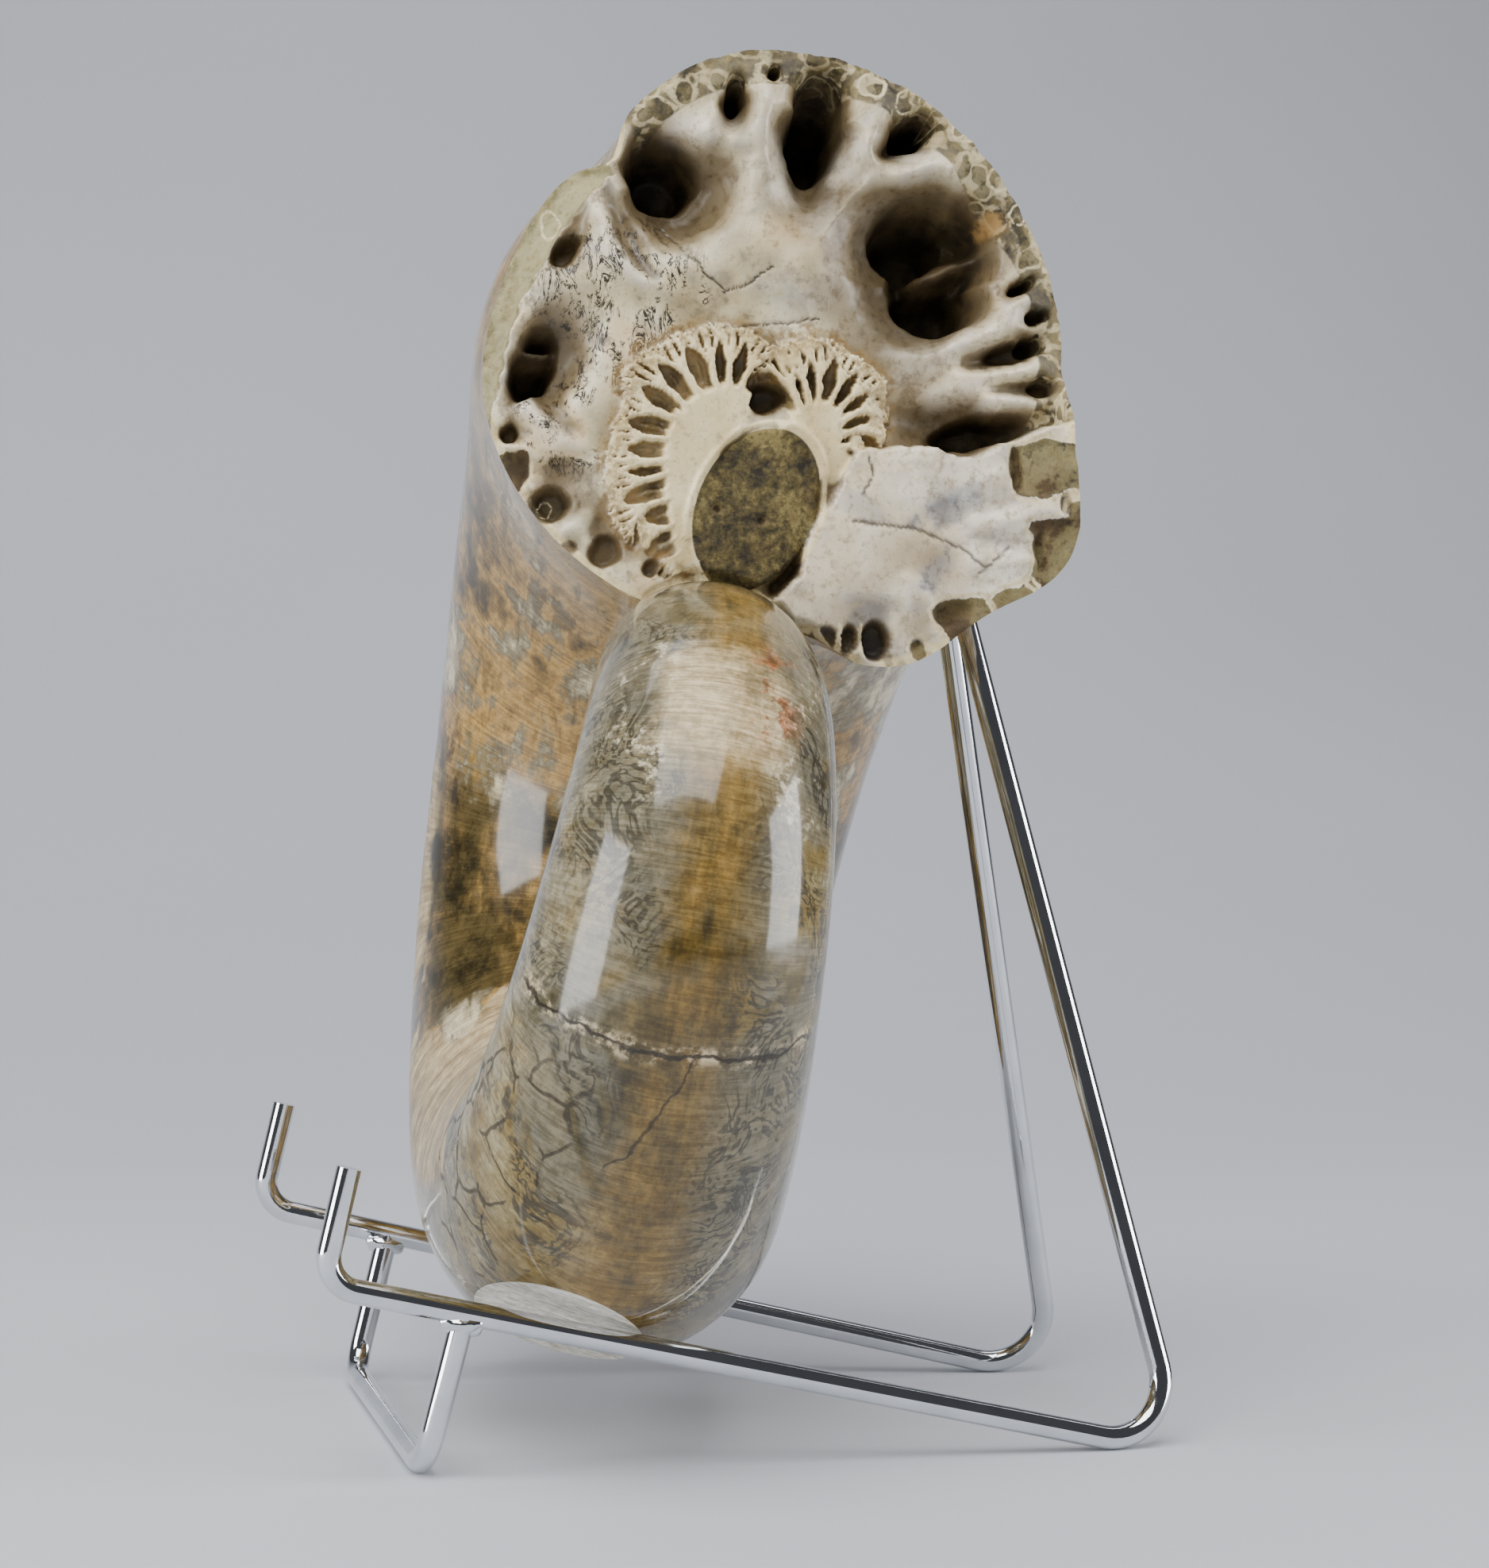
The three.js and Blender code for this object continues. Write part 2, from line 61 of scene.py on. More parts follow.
class Recipe:
    """A node's output, which sums and other nodes of the same tree can use."""

    def __init__(self, tree, socket=None):
        self.tree, self.socket = tree, socket

    def node(self, kind, settings=None, sockets=None, out=0):
        made = self.tree.nodes.new(kind)
        for name, value in (settings or {}).items():
            if name == "stops":
                ramp = made.color_ramp.elements
                while len(ramp) < len(value):
                    ramp.new(1)
                for stop, (place, colour) in zip(ramp, value):
                    stop.position, stop.color = place, colour
            else:
                setattr(made, name, value)
        for name, value in (sockets or {}).items():
            if isinstance(value, Recipe):
                self.tree.links.new(value.socket, made.inputs[name])
            else:
                made.inputs[name].default_value = value
        return Recipe(self.tree, made.outputs[out] if made.outputs else None)

    def also(self, out):
        return Recipe(self.tree, self.socket.node.outputs[out])

    def sums(self, operation, first, second=0.0):
        return self.node("ShaderNodeMath", {"operation": operation}, {0: first, 1: second})

    def __add__(self, other):
        return self.sums("ADD", self, other)

    def __radd__(self, other):
        return self.sums("ADD", other, self)

    def __sub__(self, other):
        return self.sums("SUBTRACT", self, other)

    def __rsub__(self, other):
        return self.sums("SUBTRACT", other, self)

    def __mul__(self, other):
        return self.sums("MULTIPLY", self, other)

    def __rmul__(self, other):
        return self.sums("MULTIPLY", other, self)

    def __truediv__(self, other):
        return self.sums("DIVIDE", self, other)

    def __pow__(self, other):
        return self.sums("POWER", self, other)

    def apply(self, operation, other=0.0):
        return self.sums(operation, self, other)

    def rise(self, low, high):
        return self.node(
            "ShaderNodeMapRange",
            {"interpolation_type": "SMOOTHSTEP"},
            {"Value": self, "From Min": low, "From Max": high},
        )

    def blend(self, first, second, blend_type="MIX"):
        settings = {"data_type": "RGBA", "blend_type": blend_type}
        return self.node("ShaderNodeMix", settings, {0: self, 6: first, 7: second}, 2)

    def cloud(self, scale, detail, rough=0.5, warp=0.0):
        """Soft noise at this place."""
        return self.node("ShaderNodeTexNoise", {}, {
            "Vector": self, "Scale": scale, "Detail": detail, "Roughness": rough, "Distortion": warp,
        })


def paint(red, green, blue):
    """A colour as the eye sees it, 0 to 255, turned into light."""
    parts = [c / 255 for c in (red, green, blue)]
    return (*[c / 12.92 if c < 0.04045 else ((c + 0.055) / 1.055) ** 2.4 for c in parts], 1.0)


def new_material(name):
    material = bpy.data.materials.new(name)
    material.use_nodes = True
    material.node_tree.nodes.clear()
    return material, Recipe(material.node_tree)


def finish_material(bench, surface):
    bench.node("ShaderNodeOutputMaterial", {}, {"Surface": surface})


def chrome_plate():
    """Bright chrome over drawn wire: nearly a mirror, with faint haze, finger marks and drawing lines."""
    material, bench = new_material("chrome_plate")
    place = bench.node("ShaderNodeTexCoord", out="Object")
    haze, marks, lines = place.cloud(90.0, 4.0), place.cloud(420.0, 2.0), place.cloud(1500.0, 1.0)
    rough = 0.045 + haze.rise(0.45, 0.75) * 0.05 + marks.rise(0.62, 0.72) * 0.05
    tint = haze.rise(0.3, 0.8).blend(paint(226, 228, 231), paint(205, 207, 211))
    bump = bench.node("ShaderNodeBump", {}, {"Strength": 0.02, "Distance": 0.0001, "Height": lines})
    finish_material(bench, bench.node(
        "ShaderNodeBsdfPrincipled",
        {},
        {"Base Color": tint, "Metallic": 1.0, "Roughness": rough, "Normal": bump},
    ))
    return material


chrome = chrome_plate()


def new_rule(name, sizes, counts=()):
    """The start of a node tree that takes a mesh, sizes, counts and a finish, and gives a mesh."""
    tree = bpy.data.node_groups.new(name, "GeometryNodeTree")
    takes = [("Geometry", "Geometry")] + [(size, "Float") for size in sizes]
    takes += [(count, "Int") for count in counts] + [("Finish", "Material")]
    for socket, kind in takes:
        tree.interface.new_socket(socket, in_out="INPUT", socket_type="NodeSocket" + kind)
    tree.interface.new_socket("Geometry", in_out="OUTPUT", socket_type="NodeSocketGeometry")
    bench = Recipe(tree)
    return bench, bench.node("NodeGroupInput", out="Geometry")


def finish_rule(bench, given, shape):
    whole = bench.node("GeometryNodeRealizeInstances", {}, {"Geometry": shape})
    made = bench.node("GeometryNodeSetMaterial", {}, {"Geometry": whole, "Material": given.also("Finish")})
    bench.node("NodeGroupOutput", {}, {0: made})
    return bench.tree


def wire_rule():
    """Rounds a wire's corners, sweeps the round section along it and gives it its finish."""
    bench, given = new_rule("Bent wire", ["Wire radius"], ["Steps per bend"])

    def per_corner(name):
        return bench.node(
            "GeometryNodeInputNamedAttribute", {"data_type": "FLOAT"}, {"Name": name}, "Attribute"
        )

    path = bench.node("GeometryNodeMeshToCurve", {}, {"Mesh": given})
    bent = bench.node("GeometryNodeFilletCurve", {"mode": "POLY"}, {
        "Curve": path, "Radius": per_corner("bend"), "Limit Radius": True,
        "Count": given.also("Steps per bend"),
    })
    sized = bench.node("GeometryNodeSetCurveRadius", {}, {"Curve": bent, "Radius": per_corner("girth")})
    section = bench.node(
        "GeometryNodeCurvePrimitiveCircle", {}, {"Resolution": 36, "Radius": given.also("Wire radius")}
    )
    swept = bench.node(
        "GeometryNodeCurveToMesh", {}, {"Curve": sized, "Profile Curve": section, "Fill Caps": True}
    )
    return finish_rule(bench, given, bench.node("GeometryNodeSetShadeSmooth", {}, {"Geometry": swept}))


def set_inputs(modifier, values):
    for item in modifier.node_group.interface.items_tree:
        if item.in_out == "INPUT" and item.name in values:
            modifier[item.identifier] = values[item.name]


def made_mesh(scratch, name):
    """The plain mesh that an object's node tree makes."""
    bpy.context.view_layer.update()
    ready = scratch.evaluated_get(bpy.context.evaluated_depsgraph_get())
    mesh = bpy.data.meshes.new_from_object(ready)
    mesh.name = name
    scratch.modifiers.clear()
    bpy.data.objects.remove(scratch)
    return mesh


def put_in_scene(mesh, name):
    piece = bpy.data.objects.new(name, mesh)
    bpy.context.scene.collection.objects.link(piece)
    return piece


def mend(mesh):
    """Merges seams and turns every face outwards."""
    work = bmesh.new()
    work.from_mesh(mesh)
    bmesh.ops.remove_doubles(work, verts=work.verts, dist=1e-6)
    bmesh.ops.recalc_face_normals(work, faces=work.faces)
    work.to_mesh(mesh)
    work.free()


bent_wire = wire_rule()


def wire_piece(name, points, bends, girths):
    """A wire through corner points in the easel's own millimetres."""
    mesh = bpy.data.meshes.new(name + "_path")
    mesh.from_pydata(
        [easel_origin + Vector(p) * MM for p in points], [(i, i + 1) for i in range(len(points) - 1)], []
    )
    mesh.attributes.new("bend", "FLOAT", "POINT").data.foreach_set("value", [b * MM for b in bends])
    mesh.attributes.new("girth", "FLOAT", "POINT").data.foreach_set("value", girths)
    scratch = put_in_scene(mesh, name + "_path")
    modifier = scratch.modifiers.new("wire", "NODES")
    modifier.node_group = bent_wire
    set_inputs(modifier, {"Wire radius": wire_radius * MM, "Steps per bend": 14, "Finish": chrome})
    swept = made_mesh(scratch, name)
    mend(swept)
    return put_in_scene(swept, name)


rail_slope = math.atan2(hook_corner_z - rear_corner_z, rail_length)
hook_up = Vector((0, math.sin(rail_slope), math.cos(rail_slope)))
filed_end = 0.7


def easel_side(side):
    hook_corner = Vector((side * rail_half_front, 0, hook_corner_z))
    rear_corner = Vector((side * rail_half_rear, rail_length, rear_corner_z))
    apex = Vector((side * apex_half, apex_y, apex_z))
    tip = hook_corner + hook_up * hook_length
    return [tip, tip - hook_up * filed_end, hook_corner, rear_corner, apex]


easel_points = easel_side(1) + easel_side(-1)[::-1]
easel_bends = [0, 0, hook_bend, rear_bend, apex_bend]
easel_girths = [0.78, 1, 1, 1, 1]
easel_wire = wire_piece(
    "easel_wire_chromed", easel_points, easel_bends + easel_bends[::-1], easel_girths + easel_girths[::-1]
)
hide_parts("easel_wire")
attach(easel_wire, "root")


# Front foot: a U of the same wire. Its two ends are cut to length and welded under the rails, and its
# bar stands on the table.
foot_weld_y = 28.6
foot_half = 52.75
foot_bend = 8


def rail_point(side, along):
    share = along / rail_length
    return Vector((
        side * (rail_half_front + (rail_half_rear - rail_half_front) * share),
        along,
        hook_corner_z + (rear_corner_z - hook_corner_z) * share,
    ))


def foot_side(side):
    return [rail_point(side, foot_weld_y), Vector((side * foot_half, foot_bar_y, wire_radius))]


foot_points = foot_side(1) + foot_side(-1)[::-1]
front_foot = wire_piece(
    "front_foot_chromed", foot_points, [0, foot_bend, foot_bend, 0], [1] * len(foot_points)
)
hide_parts("front_foot")
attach(front_foot, "root")


# Welds: a small bead of metal where each end of the foot meets its rail, laid by hand before the
# chrome went on, so lumpy and as bright as the wire.
def bead_rule():
    bench, given = new_rule("Weld bead", ["Bead radius", "Lumps"])
    ball = bench.node(
        "GeometryNodeMeshIcoSphere", {}, {"Radius": given.also("Bead radius"), "Subdivisions": 4}, "Mesh"
    )
    lump = bench.node("GeometryNodeInputPosition").cloud(420.0, 2.0)
    outward = bench.node("GeometryNodeInputNormal")
    push = bench.node("ShaderNodeVectorMath", {"operation": "SCALE"}, {
        0: outward, "Scale": (lump - 0.5) * given.also("Lumps"),
    })
    lumpy = bench.node("GeometryNodeSetPosition", {}, {"Geometry": ball, "Offset": push})
    flattened = bench.node("GeometryNodeTransform", {}, {"Geometry": lumpy, "Scale": (0.8, 1.5, 0.75)})
    placed = bench.node("GeometryNodeInstanceOnPoints", {}, {"Points": given, "Instance": flattened})
    return finish_rule(bench, given, bench.node("GeometryNodeSetShadeSmooth", {}, {"Geometry": placed}))


bead_radius, bead_lumps, bead_drop = 3.3, 2.4, 2.2
bead_spots = bpy.data.meshes.new("bead_spots")
bead_spots.from_pydata(
    [easel_origin + (rail_point(s, foot_weld_y) - Vector((0, 0, bead_drop))) * MM for s in (1, -1)], [], []
)
bead_scratch = put_in_scene(bead_spots, "bead_spots")
bead_modifier = bead_scratch.modifiers.new("beads", "NODES")
bead_modifier.node_group = bead_rule()
set_inputs(bead_modifier, {"Bead radius": bead_radius * MM, "Lumps": bead_lumps * MM, "Finish": chrome})
weld_mesh = made_mesh(bead_scratch, "weld_beads")
mend(weld_mesh)
weld_beads = put_in_scene(weld_mesh, "weld_beads")
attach(weld_beads, "root")


# Ammonite: a coiled shell turned to stone, cut back and polished so that the chamber walls show through
# as grey ferns in amber calcite. Each turn wraps the one before. It is one piece with its broken end.
whorl_growth = 2.8
coil_radius = 113.4
whorl_half = 62.2
whorl_height = 0.963
turns = 3
rows_per_turn = 240
flank_columns = 24
venter_columns = 36

coil_middle = easel_origin + Vector((17.9, 75.6, 118.1)) * MM
coil_turned = Euler((math.radians(-10.2), 0, 0)).to_matrix()
coil_turned @= Euler((0, 0, math.radians(-6.8))).to_matrix() @ Euler((0, math.radians(4.1), 0)).to_matrix()

whorls_apart = coil_radius / whorl_height * (1 - 1 / whorl_growth)
inner_half = whorl_half / whorl_growth
seam_reach = (whorls_apart**2 + whorl_half**2 - inner_half**2) / (2 * whorls_apart)
dorsal_seam = math.pi - math.acos(seam_reach / whorl_half)
ventral_seam = math.acos((whorls_apart - seam_reach) / inner_half)


def coil_rule():
    """Winds sheets along a growing spiral: two flanks for every turn, and the last turn's outer side."""
    bench, given = new_rule(
        "Ammonite coil",
        ["Growth per turn", "Coil radius", "Whorl half width", "Whorl height", "Dorsal seam",
         "Ventral seam"],
        ["Turns", "Rows per turn", "Flank columns", "Venter columns"],
    )

    def sheet(first_turn, rows, columns, start, stop):
        flat = bench.node("GeometryNodeMeshGrid", {}, {
            "Size X": 1.0, "Size Y": 1.0, "Vertices X": columns + 1, "Vertices Y": rows + 1,
        }, "Mesh")
        across = bench.node("ShaderNodeSeparateXYZ", {}, {0: bench.node("GeometryNodeInputPosition")})
        turn = first_turn * (0.5 - across.also("Y"))
        around = start + (stop - start) * (across + 0.5)
        spread = bench.node("ShaderNodeCombineXYZ", {}, {0: around / math.pi, 1: turn})
        marked = bench.node(
            "GeometryNodeStoreNamedAttribute",
            {"data_type": "FLOAT2", "domain": "CORNER"},
            {"Geometry": flat, "Name": "whorl", "Value": spread},
        )
        size = given.also("Growth per turn") ** turn
        angle = turn * (2 * math.pi)
        half = given.also("Whorl half width")
        beyond = half * given.also("Whorl height") * around.apply("COSINE")
        out = (given.also("Coil radius") + beyond) * size
        spiral = bench.node("ShaderNodeCombineXYZ", {}, {
            0: out * angle.apply("SINE"),
            1: half * around.apply("SINE") * size,
            2: out * angle.apply("COSINE"),
        })
        return bench.node("GeometryNodeSetPosition", {}, {"Geometry": marked, "Position": spiral})

    dorsal, ventral = given.also("Dorsal seam"), given.also("Ventral seam")
    all_turns, per_turn = given.also("Turns"), given.also("Rows per turn")
    flank_rows = all_turns * per_turn
    columns = given.also("Flank columns")
    rear_flank = sheet(-1 * all_turns, flank_rows, columns, dorsal, ventral)
    front_flank = sheet(-1 * all_turns, flank_rows, columns, -1 * dorsal, -1 * ventral)
    venter = sheet(-1.0, per_turn, given.also("Venter columns"), -1 * ventral, ventral)
    joined = bench.node("GeometryNodeJoinGeometry")
    for part in (rear_flank, front_flank, venter):
        bench.tree.links.new(part.socket, joined.socket.node.inputs[0])
    return finish_rule(bench, given, joined)


def stirred(bench, place, scale, by):
    """A place pushed about by soft noise."""
    push = bench.node("ShaderNodeTexNoise", {}, {"Vector": place, "Scale": scale, "Detail": 2.0}, "Color")
    push = bench.node("ShaderNodeVectorMath", {"operation": "SCALE"}, {0: push, "Scale": by})
    return bench.node("ShaderNodeVectorMath", {"operation": "ADD"}, {0: place, 1: push})


def polished_shell():
    """Amber calcite under a clear polish: mottled ochre and grey, grey fern sutures, cracks, pale shell."""
    material, bench = new_material("polished_shell")
    place = bench.node("ShaderNodeTexCoord", out="Object")
    whorl = bench.node("ShaderNodeUVMap", {"uv_map": "whorl"})
    spread = bench.node("ShaderNodeSeparateXYZ", {}, {0: whorl})
    around, turn = spread * 180.0, spread.also("Y")

    def between(value, low, high, fade):
        return value.rise(low - fade, low + fade) * (1.0 - value.rise(high - fade, high + fade))

    def along_growth(tight, wide):
        return bench.node("ShaderNodeCombineXYZ", {}, {0: around * wide, 1: turn * tight})

    patches = place.cloud(24.0, 3.0, 0.6, 0.6)
    mottle, grain = place.cloud(85.0, 4.0, 0.68), place.cloud(360.0, 3.0, 0.75)
    ragged = (mottle - 0.5) * 0.05
    ragged_turn, ragged_around = turn + ragged, around + ragged * 200.0
    streaks = along_growth(16.0, 0.16).cloud(1.0, 4.0, 0.7, 0.4)
    tint = bench.node("ShaderNodeValToRGB", {"stops": [
        (0.36, paint(62, 58, 42)), (0.44, paint(98, 89, 60)), (0.52, paint(128, 110, 66)),
        (0.6, paint(142, 130, 92)), (0.68, paint(178, 170, 142)),
    ]}, {"Fac": patches * 0.5 + mottle * 0.5}, "Color")
    middle = between(ragged_around, -14.0, 20.0, 12.0)
    tint = (middle * 0.85).blend(tint, bench.node("ShaderNodeValToRGB", {"stops": [
        (0.36, paint(60, 51, 25)), (0.45, paint(104, 84, 38)), (0.53, paint(142, 112, 50)),
        (0.64, paint(172, 143, 84)),
    ]}, {"Fac": streaks * 0.3 + mottle * 0.35 + patches * 0.35}, "Color"))

    ring = turn * 15.0 + (around * 0.07).apply("SINE") * 0.3 + ragged * 22.0
    near_suture = 1.0 - ((ring.apply("FRACT") - 0.5).apply("ABSOLUTE")).rise(0.14, 0.36)
    curl = place.cloud(80.0, 3.0, 0.68, 1.1)
    frill = ((curl * 7.0).apply("FRACT") - 0.5).apply("ABSOLUTE")
    fern = (1.0 - frill.rise(0.1, 0.3)) * near_suture * (1.0 - middle * 0.8)
    grey = between(patches, 0.38, 0.54, 0.03) * (1.0 - middle * 0.8)
    bold_right = between(ragged_turn, -0.69, -0.56, 0.02) * between(ragged_around, 22.0, 58.0, 8.0)
    bold_left = between(ragged_turn, -0.85, -0.74, 0.02) * between(ragged_around, -66.0, -26.0, 8.0)
    bold = bold_right.apply("MAXIMUM", bold_left)
    tint = (grey * 0.6).apply("MAXIMUM", bold * 0.55).blend(tint, paint(122, 120, 109))
    fern = (fern * 0.8).apply("MAXIMUM", (1.0 - frill.rise(0.12, 0.3)) * bold * 0.8)
    tint = fern.blend(tint, paint(60, 58, 51))
    pale_side = (around - 6.0).apply("ABSOLUTE").rise(48.0, 80.0)
    tint = (pale_side * mottle.rise(0.4, 0.6) * 0.55).blend(tint, paint(168, 162, 140))

    back = turn.rise(-0.52, -0.45)
    back_tint = bench.node("ShaderNodeValToRGB", {"stops": [
        (0.41, paint(66, 57, 36)), (0.455, paint(124, 100, 56)), (0.5, paint(176, 142, 82)),
        (0.54, paint(120, 111, 88)), (0.6, paint(206, 195, 166)),
    ]}, {"Fac": patches * 0.6 + mottle * 0.4}, "Color")
    back_tint = (turn.rise(-0.12, -0.02) * 0.45).blend(back_tint, paint(184, 162, 124))
    smears = streaks.rise(0.52, 0.6) * mottle.rise(0.42, 0.56) * 0.7
    back_tint = smears.blend(back_tint, paint(86, 76, 54))
    dark_band = between(turn + ragged * 1.6, -0.381, -0.225, 0.012) * patches.rise(0.36, 0.5)
    dark_tint = mottle.rise(0.4, 0.6).blend(paint(44, 39, 22), paint(86, 74, 44))
    back_tint = dark_band.blend(back_tint, dark_tint)
    tint = back.blend(tint, back_tint)

    stripes = along_growth(95.0, 0.02).cloud(1.0, 3.0, 0.65)
    brushed = along_growth(420.0, 0.05).cloud(1.0, 2.0, 0.6)
    torn = ragged_turn + (patches - 0.5) * 0.14
    low_shell = between(torn, -0.56, -0.383, 0.004) * (1.0 - (around + ragged * 150.0).rise(-86.0, -78.0))
    side_shell = between(torn, -0.35, -0.24, 0.004) * between(around + ragged * 300.0, -104.0, -60.0, 3.0)
    old_shell = low_shell.apply("MAXIMUM", side_shell)
    tint = old_shell.blend(tint, stripes.rise(0.3, 0.72).blend(paint(140, 120, 86), paint(204, 186, 150)))

    # The worn cap on top of the front whorl is pale; its pale tint is partly a painted highlight where the
    # overhead box shows, blurred.
    cap = between(turn + ragged * 0.9, -0.872, -0.816, 0.01)
    cap = cap * between(around + ragged * 400.0, -32.0, 28.0, 9.0)
    cap = cap * (0.45 + mottle.rise(0.36, 0.5) * 0.55)
    tint = (cap * (0.4 + brushed * 0.7)).blend(tint, paint(212, 195, 160))
    fringe = between(turn, -0.89, -0.79, 0.012) * between((around + 2.0).apply("ABSOLUTE"), 22.0, 52.0, 6.0)
    tint = (fringe * (mottle * 0.6 + grain * 0.4).rise(0.53, 0.6) * 0.8).blend(tint, paint(204, 196, 174))
    rust = between(turn, -0.885, -0.83, 0.012) * between(around, 10.0, 32.0, 8.0)
    rust = rust * place.cloud(170.0, 3.0, 0.7).rise(0.47, 0.57)
    tint = (rust * 0.8).blend(tint, grain.rise(0.4, 0.6).blend(paint(96, 50, 22), paint(156, 84, 40)))

    wander = (patches - 0.5) * 0.025 + (mottle - 0.5) * 0.012
    across = between(around, -74.0, 66.0, 6.0) * (1.0 - back)
    off = (turn + wander + 0.7025).apply("ABSOLUTE")
    main_crack = (1.0 - off.rise(0.0005, 0.0013)) * across
    scar = (1.0 - off.rise(0.0012, 0.006)) * across * (mottle * 0.6 + grain * 0.4).rise(0.46, 0.56)
    tint = (scar * 0.7).blend(tint, paint(214, 198, 166))
    net = bench.node("ShaderNodeTexVoronoi", {"feature": "DISTANCE_TO_EDGE"}, {
        "Vector": stirred(bench, place, 90.0, 0.007), "Scale": 56.0,
    })
    net_place = between(turn, -0.69, -0.52, 0.03) * (1.0 - around.rise(-34.0, -12.0)) * (1.0 - back)
    crazed = (1.0 - net.rise(0.012, 0.034)) * net_place * mottle.rise(0.44, 0.5)
    branch = around - (2.0 - (turn + 0.699) * 440.0) + ragged * 260.0 + (patches - 0.5) * 90.0
    branch = (1.0 - branch.apply("ABSOLUTE").rise(0.5, 1.1)) * between(turn, -0.7, -0.65, 0.002)
    cracks = main_crack.apply("MAXIMUM", crazed * 0.85).apply("MAXIMUM", branch * 0.8)
    tint = (cracks * 0.9).blend(tint, paint(44, 38, 30))

    bow = (turn + 0.632) / 0.052
    beside = (around - (46.0 - bow * bow * 31.0) + ragged * 60.0).apply("ABSOLUTE")
    white_line = (1.0 - beside.rise(0.45, 0.9)) * between(turn, -0.634, -0.578, 0.003)
    tint = white_line.blend(tint, paint(222, 210, 184))
    # The ground flat is pale and matte, and is painted near white as well to stand in for the light it
    # takes from the floor below.
    ground = bench.node("ShaderNodeAttribute", {"attribute_name": "ground"}, {}, "Fac")
    tint = ground.blend(tint, mottle.rise(0.3, 0.7).blend(paint(238, 235, 228), paint(250, 248, 243)))
    lines = along_growth(620.0, 0.045).cloud(1.0, 2.0, 0.7)
    crisp = (lines * 0.5 + grain * 0.5).rise(0.38, 0.62).blend(paint(180, 172, 152), paint(255, 253, 248))
    tint = bench.node(
        "ShaderNodeMix", {"data_type": "RGBA", "blend_type": "MULTIPLY"}, {0: 0.85, 6: tint, 7: crisp}, 2
    )

    rough = 0.22 + mottle * 0.1 + old_shell * 0.14 + cap * 0.1 + cracks * 0.4 + ground * 0.3
    dull = (cap * 0.85).apply("MAXIMUM", old_shell * 0.5).apply("MAXIMUM", ground)
    polish = 1.0 - dull.apply("MAXIMUM", net_place * 0.6)
    height = brushed * 0.5 + grain * 0.08
    bump = bench.node("ShaderNodeBump", {}, {"Strength": 0.5, "Distance": 0.0002, "Height": height})
    finish_material(bench, bench.node("ShaderNodeBsdfPrincipled", {}, {
        "Base Color": tint, "Roughness": rough, "Specular IOR Level": 0.12, "Coat Weight": polish * 0.85,
        "Coat Roughness": 0.09, "Normal": bump,
    }))
    return material


def wound_coil():
    """The regular coil, in millimetres in its own frame and open at the broken end."""
    scratch = put_in_scene(bpy.data.meshes.new("coil_start"), "coil_start")
    modifier = scratch.modifiers.new("coil", "NODES")
    modifier.node_group = coil_rule()
    set_inputs(modifier, {
        "Growth per turn": whorl_growth, "Coil radius": coil_radius, "Whorl half width": whorl_half,
        "Whorl height": whorl_height, "Dorsal seam": dorsal_seam, "Ventral seam": ventral_seam,
        "Turns": turns, "Rows per turn": rows_per_turn,
        "Flank columns": flank_columns, "Venter columns": venter_columns,
    })
    mesh = made_mesh(scratch, "coil")
    work = bmesh.new()
    work.from_mesh(mesh)
    bmesh.ops.remove_doubles(work, verts=work.verts, dist=1e-3)
    work.to_mesh(mesh)
    work.free()
    return mesh


def bell(x, centre, spread):
    return np.exp(-0.5 * ((x - centre) / spread) ** 2)


def rise(x, low, high):
    t = np.clip((x - low) / (high - low), 0, 1)
    return t * t * (3 - 2 * t)


def band(x, low, high, fade):
    return rise(x, low - fade, low + fade) * (1 - rise(x, high - fade, high + fade))


def slid(places, along):
    """Points moved along the spiral, each by its own angle: they turn about its axis and grow."""
    x, y, z = places.T
    size = whorl_growth ** (along / (2 * math.pi))
    c, s = np.cos(along), np.sin(along)
    return np.stack([size * (x * c + z * s), size * y, size * (z * c - x * s)], axis=1)


# Bearings run round the whorl from its outer side (0) to the rear flank (90) and the front one (-90).
# The rim swells where a shelf of the next chamber is left, and is worn back at the front shoulder.
rim_swells = [
    (118, 11, 14), (147, 11, 12), (50, 22, -2.2), (-78, 20, -5.2), (-46, 13, -4.5), (-50, 3.5, -4),
]
rim_swell_arc, rim_slide_arc = 19, 14
shelf_ahead, shelf_from, shelf_to = 11, 90, 157
worn_back, worn_from, worn_to = 9, -110, -48
rim_step = 2.5
dorsal_deg = math.degrees(dorsal_seam)


def off_seam(bearing):
    return 1 - rise(np.abs(bearing), dorsal_deg - 11, dorsal_deg)


def rim_swell(bearing):
    return off_seam(bearing) * sum(by * bell(bearing, at, spread) for at, spread, by in rim_swells)


def rim_height(bearing):
    ahead = shelf_ahead * band(bearing, shelf_from, shelf_to, 7)
    return ahead - worn_back * band(bearing, worn_from, worn_to, 9)


def rumpled(places, scale, depth=4):
    """Soft noise at each of many points, about -1 to 1."""
    return np.array([noise.fractal(Vector(p) * scale, 1.0, 2.0, depth) for p in places])


coil = wound_coil()
coil_places = np.empty(len(coil.vertices) * 3)
coil.vertices.foreach_get("co", coil_places)
coil_places = coil_places.reshape(-1, 3)
corner_of = np.empty(len(coil.loops), int)
coil.loops.foreach_get("vertex_index", corner_of)
corner_whorl = np.empty(len(coil.loops) * 2)
coil.attributes["whorl"].data.foreach_get("vector", corner_whorl)
corner_whorl = corner_whorl.reshape(-1, 2)
whorl_place = np.empty((len(coil.vertices), 2))
whorl_place[corner_of] = corner_whorl
coil_bearing, coil_turn = whorl_place[:, 0] * 180, whorl_place[:, 1]

